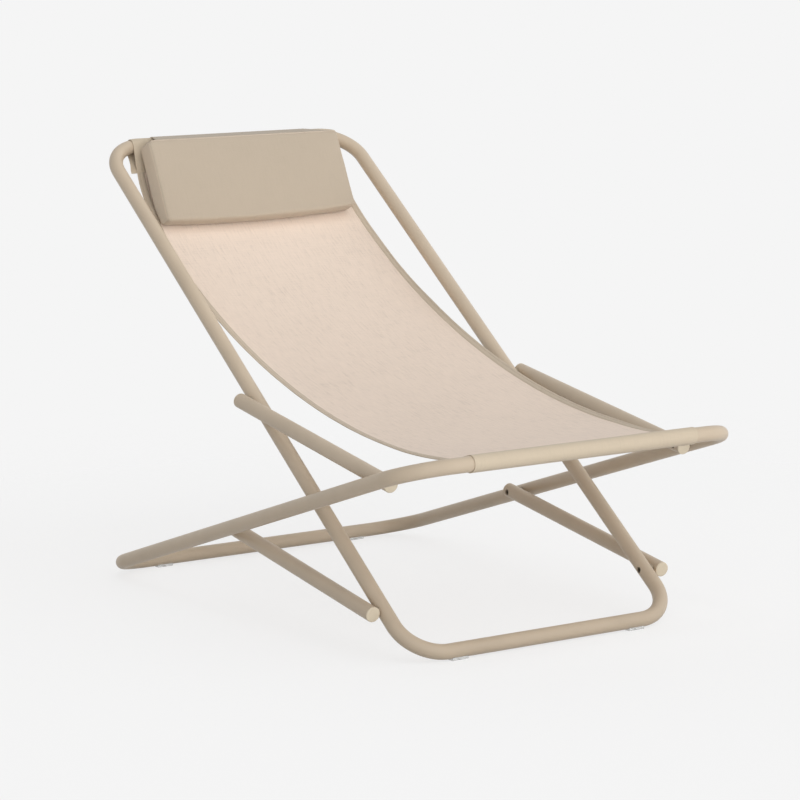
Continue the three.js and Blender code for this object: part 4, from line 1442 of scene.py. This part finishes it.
@dataclass
class HeadPillow:
    """The head pillow, inflated by a cloth simulation, with its seams and its hanging flap."""

    layout: Layout
    shape: SlingShape
    width: float = 395.0
    height: float = 153.0
    thickness: float = 50.0
    angle: float = 65.0
    forward: float = 74.0
    drop: float = 64.0
    least: float = 16.0
    lift: float = 0.4
    voxel: float = 4.0
    flap_width: float = 320.0
    flap_root: float = 380.0  # how wide it is at the seam
    flap_thickness: float = 1.2
    flap_drop: float = 60.0
    flap_hem: float = 14.0
    flap_hem_thickness: float = 3.0
    flap_flat: float = 156.0
    flap_columns: int = 80
    flap_root_rows: int = 14  # over how many rows it narrows from its root
    flap_wave: float = 0.81  # half the depth of the waves at its free end
    edge_radius: float = 5.0
    flat_share: float = 0.84  # its thickness at the edges, as a share of that in the middle
    belly: float = 7.2  # how far the lower edge bulges below its corners
    skew: float = 2.6  # how much lower its left end hangs
    slack: float = 2.5  # how far the cloth swells from its cut shape
    held: float = 16.0  # how far from its edges the cloth is held back from swelling
    seam_radius: float = 0.6
    seam_sides: int = 8
    seam_step: float = 4.0
    # the scales across and up, the seed and the size of each layer of unevenness
    dents: tuple[tuple[float, float, float, float], ...] = ((0.016, 0.02, 3.0, 1.1), (0.05, 0.05, 9.0, 0.35))
    dent_depth: float = 8.0  # how far from the rear face the dents start
    sleeve_gap: float = 0.8
    flap_gap: float = 0.3
    support_run: int = 290  # how far from the top seam the sling may carry it
    support_step: int = 6
    steps: int = 48  # of the cut shape along each edge
    weld: float = 0.2

    @cached_property
    def axes(self) -> tuple[Vector, Vector]:
        """The directions up the pillow's face and out of it, in the side plane."""
        return Layout.direction(self.angle), Layout.direction(self.angle + 90)

    @cached_property
    def centre(self) -> Vector:
        """The pillow's centre in the side plane."""
        return self.layout.top_bar - Vector((self.forward, self.drop))

    @cached_property
    def support(self) -> list[Pair]:
        """The sling's surface as heights up the pillow and depths through it, from the top."""
        up, out_of_face = self.axes
        found = []
        for distance in range(0, self.support_run, self.support_step):
            point, out = self.shape.at(float(distance))
            offset = point + out * (self.layout.cloth / 2 + self.lift) - self.centre
            found.append((offset.dot(up), offset.dot(out_of_face)))
        return found

    def rear(self, height: float) -> float:
        """Depth of the pillow's rear face at a height, where the sling may press it."""
        half = self.thickness / 2
        if height >= self.support[0][0]:
            return -half
        for (h0, d0), (h1, d1) in zip(self.support, self.support[1:]):
            if h1 <= height <= h0:
                return max(-half, d0 + (d1 - d0) * (h0 - height) / (h0 - h1))
        return self.support[-1][1]

    @cached_property
    def flap_line(self) -> tuple[Vector, float]:
        """The centre of the pillow's rounded front top edge, and the direction square to the taut flap."""
        layout, radius = self.layout, self.edge_radius
        depth = self.thickness / 2 * self.flat_share - radius
        edge = layout.along(self.centre, self.angle, self.height / 2 - radius)
        edge = layout.along(edge, self.angle + 90, depth)
        span = layout.top_bar - edge
        lift = radius - layout.sleeve_radius - layout.clearance
        return edge, math.degrees(math.atan2(span.y, span.x) + math.acos(lift / span.length))

    def placed(self, u: float, height: float, depth: float) -> Vector:
        """A point of the pillow in the row frame, pressed by the sling where it lies on it.

        Args:
            u: millimetres across.
            height: millimetres up its face.
            depth: millimetres through it, towards the sitter.

        Returns:
            The point in metres.
        """
        half = self.thickness / 2
        rear = self.rear(height)
        front = max(half, rear + self.least)
        pressed = rear + (depth + half) / self.thickness * (front - rear)
        up, out = self.axes
        return in_row(u, self.centre + up * height + out * pressed)

    def cut_shape(self) -> tuple[list[Vector], Faces]:
        """The pillow's cut shape before it swells, as points and faces: a box with rounded edges."""
        halves = (self.width / 2, self.height / 2, self.thickness / 2)
        shares = closer_at_ends(self.steps)
        points: list[Vector] = []
        faces: Faces = []
        for axis in range(3):
            for sign in (-1.0, 1.0):
                faces += grid_faces(len(shares), len(shares), base=len(points))
                for upward in shares:
                    for across in shares:
                        share = [sign, sign, sign]
                        share[(axis + 1) % 3], share[(axis + 2) % 3] = across, upward
                        points.append(self.rounded(share, halves, self.edge_radius))
        return points, faces

    def rounded(self, share: Sequence[float], halves: Sequence[float], edge: float) -> Vector:
        """A point of the rounded box, from its shares of the box's half sizes."""
        outer = Vector([part * half for part, half in zip(share, halves)])
        core = Vector([max(-half + edge, min(half - edge, value)) for value, half in zip(outer, halves)])
        away = outer - core
        point = core + away.normalized() * edge if away.length > 1e-6 else outer
        u, v = point.x / halves[0], point.y / halves[1]
        full = 1 - self.slack / halves[2]
        crown = self.flat_share + (full - self.flat_share) * (1 - u * u) * (1 - v * v)
        belly = (self.belly * (1 - u * u) - self.skew * u) * eased(-v)
        return self.placed(point.x, point.y - belly, point.z * crown)

    def swollen(self, material: Material) -> Piece:
        """Makes the pillow: cut, remeshed, inflated as cloth, capped and smoothed."""
        points, faces = self.cut_shape()
        piece = new_piece("head_pillow", points, faces, material)
        with reshaping(piece.data) as work:
            bmesh.ops.remove_doubles(work, verts=work.verts, dist=self.weld * MM)
            bmesh.ops.recalc_face_normals(work, faces=work.faces)
        bpy.context.view_layer.objects.active = piece
        remesh = piece.modifiers.new("even", "REMESH")
        remesh.mode = "VOXEL"
        remesh.voxel_size = self.voxel * MM
        apply_modifiers(piece)
        self.inflate(piece)
        smooth = piece.modifiers.new("finer", "SUBSURF")
        smooth.levels = smooth.render_levels = 1
        apply_modifiers(piece)
        self.settle(piece)
        piece.data.shade_smooth()
        piece.data.materials.clear()
        piece.data.materials.append(material)
        return piece

    def measured(self, place: Vector) -> Triple:
        """A point's millimetres across, up and through the pillow."""
        offset = Vector((place.y, place.z)) / MM - self.centre
        up, out = self.axes
        return place.x / MM, offset.dot(up), offset.dot(out)

    def from_edge(self, place: Vector) -> float:
        """How far a point of the pillow's surface lies from the nearest of its box's edges."""
        across, height, depth = self.measured(place)
        front = self.thickness / 2 * self.flat_share
        inwards = (
            self.width / 2 - abs(across),
            self.height / 2 - abs(height),
            min(depth - self.rear(height), max(front, self.rear(height) + self.least) - depth),
        )
        return sorted(max(0.0, value) for value in inwards)[1]

    def inflate(self, piece: Piece) -> None:
        """Swells the piece as cloth held at its edges, and caps how far each point moves."""
        rest = [vertex.co.copy() for vertex in piece.data.vertices]
        Swelling().run(piece, lambda place: 1 - eased(self.from_edge(place) / self.held))
        limit = self.slack * MM
        for vertex, before in zip(piece.data.vertices, rest):
            move = vertex.co - before
            if move.length > limit:
                vertex.co = before + move.normalized() * limit

    def settle(self, piece: Piece) -> None:
        """Adds soft unevenness and keeps the pillow clear of the sling, the top sleeve and the flap."""
        up, out = self.axes
        bar = self.layout.top_bar
        away = self.layout.sleeve_radius + self.sleeve_gap
        edge, square = self.flap_line
        upwards = Layout.direction(square)
        places = []
        for vertex in piece.data.vertices:
            x, offset = vertex.co.x / MM, Vector((vertex.co.y / MM, vertex.co.z / MM)) - self.centre
            height, depth = offset.dot(up), offset.dot(out)
            rear = self.rear(height)
            if depth > rear + self.dent_depth:
                depth += sum(
                    noise.noise(Vector((x * across, height * along, seed))) * size
                    for across, along, seed, size in self.dents
                )
            side = self.centre + up * height + out * max(depth, rear)
            if (side - bar).length < away:
                side = bar + (side - bar).normalized() * away
            above = (side - edge).dot(upwards) - self.edge_radius + self.flap_gap
            if above > 0 and abs(x) < self.flap_root / 2 + 2 and height > 0:
                side = side - upwards * above
            vertex.co = in_row(x, side)
            places.append((x * MM, height * MM))
        set_places(piece.data, places)

    def seam_paths(self) -> dict[str, list[Triple]]:
        """Marks of the seams: along the front top edge with both side panels, and round the rear face."""
        x, y, z = self.width / 2, self.height / 2, self.thickness / 2
        return {
            "top": [(-x, y, -z), (-x, y, z), (x, y, z), (x, y, -z)],
            "rear": [(x, y, -z), (-x, y, -z), (-x, -y, -z), (x, -y, -z), (x, y, -z)],
        }

    def ridge(
        self,
        name: str,
        piece: Piece,
        marks: Sequence[Triple],
        material: Material,
    ) -> Piece:
        """Makes a thin sewn ridge laid on the finished pillow.

        Args:
            name: the piece's name.
            piece: the finished pillow.
            marks: the corners of the seam, as places across, up and through the pillow.
            material: the cloth.

        Returns:
            The ridge's object.
        """
        tree = BVHTree.FromPolygons(
            [vertex.co.copy() for vertex in piece.data.vertices],
            [tuple(polygon.vertices) for polygon in piece.data.polygons],
        )
        closed = marks[0] == marks[-1]
        centres = []
        for start, end in zip(marks, marks[1:]):
            steps = max(1, int((Vector(end) - Vector(start)).length / self.seam_step))
            for step in range(steps + (not closed and end == marks[-1])):
                mark = Vector(start).lerp(Vector(end), step / steps)
                place, normal, _, _ = tree.find_nearest(self.placed(*mark))
                centres.append((place + normal * (0.1 * MM), normal))
        count = len(centres)
        points = []
        for index, (place, normal) in enumerate(centres):
            following = (index + 1) % count if closed else min(index + 1, count - 1)
            before = index - 1 if closed else max(index - 1, 0)
            heading = (centres[following][0] - centres[before][0]).normalized()
            flat = heading.cross(normal).normalized()
            for x, y in circle(self.seam_sides):
                points.append(place + (flat * x + normal * y) * self.seam_radius * MM)
        if closed:
            faces = grid_faces(count, self.seam_sides, wrap_rows=True, wrap_columns=True)
        else:
            faces = tube_faces(count, self.seam_sides)
        places = [(index * 0.004, i * 0.0007) for index in range(count) for i in range(self.seam_sides)]
        return new_piece(name, points, faces, material, places)

    def flap_stations(self) -> tuple[list[tuple[Vector, Vector, float]], int]:
        """The flap's line from the pillow over the bar and down.

        Returns:
            Its stations, as a place, the direction out of the cloth and half its thickness, and how many of
            them lie before it hangs free.
        """
        layout, bar = self.layout, self.layout.top_bar
        half = self.flap_thickness / 2
        round_bar = layout.sleeve_radius + layout.clearance + half
        edge, front = self.flap_line
        first, turn = self.edge_radius + half, self.angle + 45 - front
        stations: list[tuple[Vector, Vector, float]] = []
        for i in range(4):
            angle = front + turn * (1 - i / 4)
            sunk = 0.7 * (1 - min(i, 2) / 2)
            stations.append((layout.along(edge, angle, first - sunk), layout.direction(angle), half))
        begin, end = layout.along(edge, front, first), layout.along(bar, front, round_bar)
        stations += [(begin.lerp(end, i / 10), layout.direction(front), half) for i in range(10)]
        for i in range(21):
            angle = front * (1 - i / 20)
            stations.append((layout.along(bar, angle, round_bar), layout.direction(angle), half))
        on_bar = len(stations)
        start = layout.along(bar, 0, round_bar)
        hem_at = self.flap_drop - self.flap_hem
        drops = [4 * i for i in range(1, int(hem_at / 4))] + [hem_at + past for past in (-0.3, 0.7, 4, 8, 12)]
        for down in (*drops, self.flap_drop):
            thick = self.flap_hem_thickness / 2 if down > hem_at else half
            stations.append((start - Vector((half - thick, down)), Vector((1.0, 0.0)), thick))
        return stations, on_bar

    def flap(self, material: Material) -> Piece:
        """Makes the flap that leaves the pillow's top, passes over the bar and hangs behind it."""
        stations, on_bar = self.flap_stations()
        size, columns = len(stations), self.flap_columns
        points: list[Vector] = []
        places: list[Pair] = []
        for face in (1, -1):
            run = 0.0
            for index, (place, out, thick) in enumerate(stations):
                run += (place - stations[index - 1][0]).length if index else 0.0
                hang = max(0.0, (index - on_bar) / (size - on_bar - 1)) * self.flap_wave
                widening = (self.flap_root - self.flap_width) * max(0.0, 1 - index / self.flap_root_rows)
                width = (self.flap_width + widening) / 2
                for column in range(columns + 1):
                    x = -width + 2 * width * column / columns
                    wave = hang * (math.sin(x * 0.045 + 0.6) - 1)
                    points.append(in_row(x, place + out * (face * thick + wave)))
                    places.append((x * MM, run * MM))
        piece = new_piece("pillow_flap_cloth", points, sheet_faces(size, columns + 1), material, places)
        sharpen(piece, 60)
        return piece

    def build(self, palette: Palette) -> list[Piece]:
        pillow = self.swollen(palette.pillow)
        seams = [
            self.ridge(f"head_pillow_{name}_seam", pillow, marks, palette.pillow_seam)
            for name, marks in self.seam_paths().items()
        ]
        flap = self.flap(palette.pillow)
        for piece in (pillow, *seams, flap):
            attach(piece, Body.BACK.value)
        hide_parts("pillow")
        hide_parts("pillow_flap")
        return [pillow, *seams, flap]


# ---- the studio -----------------------------------------------------------------------------


@dataclass
class Studio:
    """The camera of the photograph, a pale floor and soft light."""

    layout: Layout
    yaw: float = -32.023
    pitch: float = 8.502
    roll: float = -1.163
    distance: float = 4452.885
    target: Triple = (-313.01, 194.471, 433.127)
    focal: float = 2954.907
    frame: float = 800.0
    sensor: float = 36.0
    clip: Pair = (0.1, 60.0)
    floor_start: float = 264.0  # the place of the back frame's floor bar in the camera's measure
    floor_height: float = 14.0
    background: float = 0.913
    front_light: float = 1.78
    rear_light: float = 0.98
    right_light: float = 0.64
    left_light: float = 0.06
    floor_colour: float = 0.64
    floor_shown: float = 0.97
    floor_evenness: float = 0.72  # how much of the floor is seen at an even level
    floor_level: float = 0.974
    floor_reach: float = 2.6
    fade: Pair = (0.9, 2.2)  # distances at which the floor starts and ends to fade
    lamp_place: Triple = (-0.6, -0.9, 3.4)
    lamp_target: Triple = (0.0, 0.0, 0.35)
    lamp_size: float = 0.7
    lamp_power: float = 5.0

    def camera(self) -> Piece:
        """Makes the camera at the photograph's place."""
        yaw, pitch, roll = (math.radians(value) for value in (self.yaw, self.pitch, self.roll))
        back = Vector((math.sin(yaw) * math.cos(pitch), -math.cos(yaw) * math.cos(pitch), math.sin(pitch)))
        right = Vector((math.cos(yaw), math.sin(yaw), 0.0))
        up = back.cross(right)
        turned_right = right * math.cos(roll) + up * math.sin(roll)
        turned_up = up * math.cos(roll) - right * math.sin(roll)
        start = self.layout.back_start
        shift = Vector((0.0, start.x - self.floor_start, start.y - self.floor_height))
        place = (Vector(self.target) + shift + back * self.distance) * MM
        data = bpy.data.cameras.new("camera")
        data.sensor_width = self.sensor
        data.lens = self.focal / self.frame * data.sensor_width
        data.clip_start, data.clip_end = self.clip
        camera = bpy.data.objects.new("camera", data)
        rotation = Matrix((turned_right, turned_up, back)).transposed()
        camera.matrix_world = Matrix.Translation(place) @ rotation.to_4x4()
        bpy.context.scene.collection.objects.link(camera)
        bpy.context.scene.camera = camera
        return camera

    def floor(self) -> Piece:
        """Makes a pale floor that fades into the background away from the chair."""
        graph = Graph("floor")
        distance = graph.vector_math("LENGTH", graph.solid_place()).outputs["Value"]
        fade = graph.between(distance, *self.fade, interpolation_type="SMOOTHSTEP")
        camera, seen = graph.background_rays()
        paint = graph.math("MULTIPLY_ADD", camera, self.floor_shown - self.floor_colour, self.floor_colour)
        graph.set(Roughness=0.9, Specular_IOR_Level=0.0)
        graph.feed(Base_Color=paint)
        even = graph.add("Emission", Color=grey(self.floor_level), Strength=1.0)
        share = graph.math("MULTIPLY", seen, self.floor_evenness)
        surface = graph.mixed(share, graph.shader.outputs[0], even.outputs[0])
        clear = graph.add("BsdfTransparent")
        graph.link(graph.mixed(fade, surface, clear.outputs[0]), graph.output.inputs[0])
        reach = self.floor_reach
        corners = [Vector((x * reach, y * reach, 0.0)) for x, y in ((-1, -1), (1, -1), (1, 1), (-1, 1))]
        floor = new_piece("floor", corners, [(0, 1, 2, 3)], graph.material)
        return floor

    def lamp(self) -> None:
        """Adds a soft square lamp that faces the chair."""
        data = bpy.data.lights.new("key", "AREA")
        data.shape, data.size, data.energy = "SQUARE", self.lamp_size, self.lamp_power
        lamp = bpy.data.objects.new("key", data)
        lamp.location = self.lamp_place
        lamp.rotation_mode = "QUATERNION"
        aim = Vector(self.lamp_target) - Vector(self.lamp_place)
        lamp.rotation_quaternion = aim.to_track_quat("-Z", "Y")
        bpy.context.scene.collection.objects.link(lamp)

    def world(self) -> None:
        """Sets a world bright in front and behind, seen behind the object at the background's level."""
        world = bpy.data.worlds.new("studio")
        world.use_nodes = True
        nodes = Nodes(world.node_tree)
        heading = nodes.add("TexCoord").outputs["Generated"]
        either = nodes.vector_math("ABSOLUTE", heading).outputs[0]
        both = (self.right_light + self.left_light, self.front_light + self.rear_light)
        lean = (self.right_light - self.left_light, self.rear_light - self.front_light)
        shares = [
            nodes.vector_math("DOT_PRODUCT", source, (pair[0] / 2, pair[1] / 2, 0.0)).outputs["Value"]
            for source, pair in ((either, both), (heading, lean))
        ]
        light = nodes.add("Background", Color=WHITE)
        nodes.link(nodes.math("ADD", *shares), light.inputs["Strength"])
        shown = nodes.add("Background", Color=grey(self.background))
        _, seen = nodes.background_rays()
        output = nodes.add("OutputWorld")
        nodes.link(nodes.mixed(seen, light.outputs[0], shown.outputs[0]), output.inputs[0])
        bpy.context.scene.world = world

    def build(self) -> None:
        """Sets up the camera, floor, lamp and world."""
        self.camera()
        self.floor()
        self.lamp()
        self.world()
        bpy.context.scene.view_settings.view_transform = "Standard"


# ---- the whole chair ------------------------------------------------------------------------


@dataclass
class DeckChair:
    """The chair's sub-assemblies, in the order in which they are built."""

    layout: Layout = field(default_factory=Layout)

    def loops(self) -> list[TubeLoop]:
        """The two tube loops."""
        lay = self.layout
        return [
            TubeLoop(
                "back_frame_loop", "back_frame_tube", Body.BACK, lay.back_width, lay.back_length,
                lay.back_bend, lay.back_start, lay.back_angle,
                pivots=(lay.on_back(lay.upper_on_back), lay.on_back(lay.lower_on_back)),
            ),
            TubeLoop(
                "seat_frame_loop", "seat_frame_tube", Body.SEAT, 2 * lay.seat_x, lay.seat_length,
                lay.seat_bend, lay.seat_start, lay.seat_angle,
            ),
        ]

    def links(self) -> list[Link]:
        """The four links."""
        lay = self.layout
        upper = (lay.on_back(lay.upper_on_back), lay.on_seat(lay.upper_on_seat), *lay.upper_overhangs)
        lower = (lay.on_back(lay.lower_on_back), lay.on_seat(lay.lower_on_seat), *lay.lower_overhangs)
        made = []
        for place, ends in (("upper", upper), ("lower", lower)):
            for side in Side:
                name = f"{place}_link_{side.label}"
                made.append(Link(name, Body(name), side.value * lay.link_x, *ends))
        return made

    def build(self, nodes: dict[str, Piece]) -> None:
        """Builds and dresses every piece.

        Args:
            nodes: the CAD nodes by name.
        """
        palette = Palette.build()
        for loop in self.loops():
            LOG.info("built %s", loop.build(palette.paint).name)
        for link in self.links():
            LOG.info("built %s", ", ".join(piece.name for piece in link.build(palette)))
        LOG.info("dressed %d small nodes", SteelAndPlastic(nodes).dress(palette))
        shape = SlingShape(self.layout)
        LOG.info("built %d sling pieces", len(Sling(self.layout, shape).build(palette)))
        LOG.info("built %d pillow pieces", len(HeadPillow(self.layout, shape).build(palette)))


def main() -> None:
    """Loads the frame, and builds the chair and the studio."""
    logging.basicConfig(level=logging.INFO, format="%(message)s")
    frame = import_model()
    chair = DeckChair()
    chair.build(frame["nodes"])
    Studio(chair.layout).build()
    bpy.context.view_layer.update()


if __name__ == "__main__":
    main()
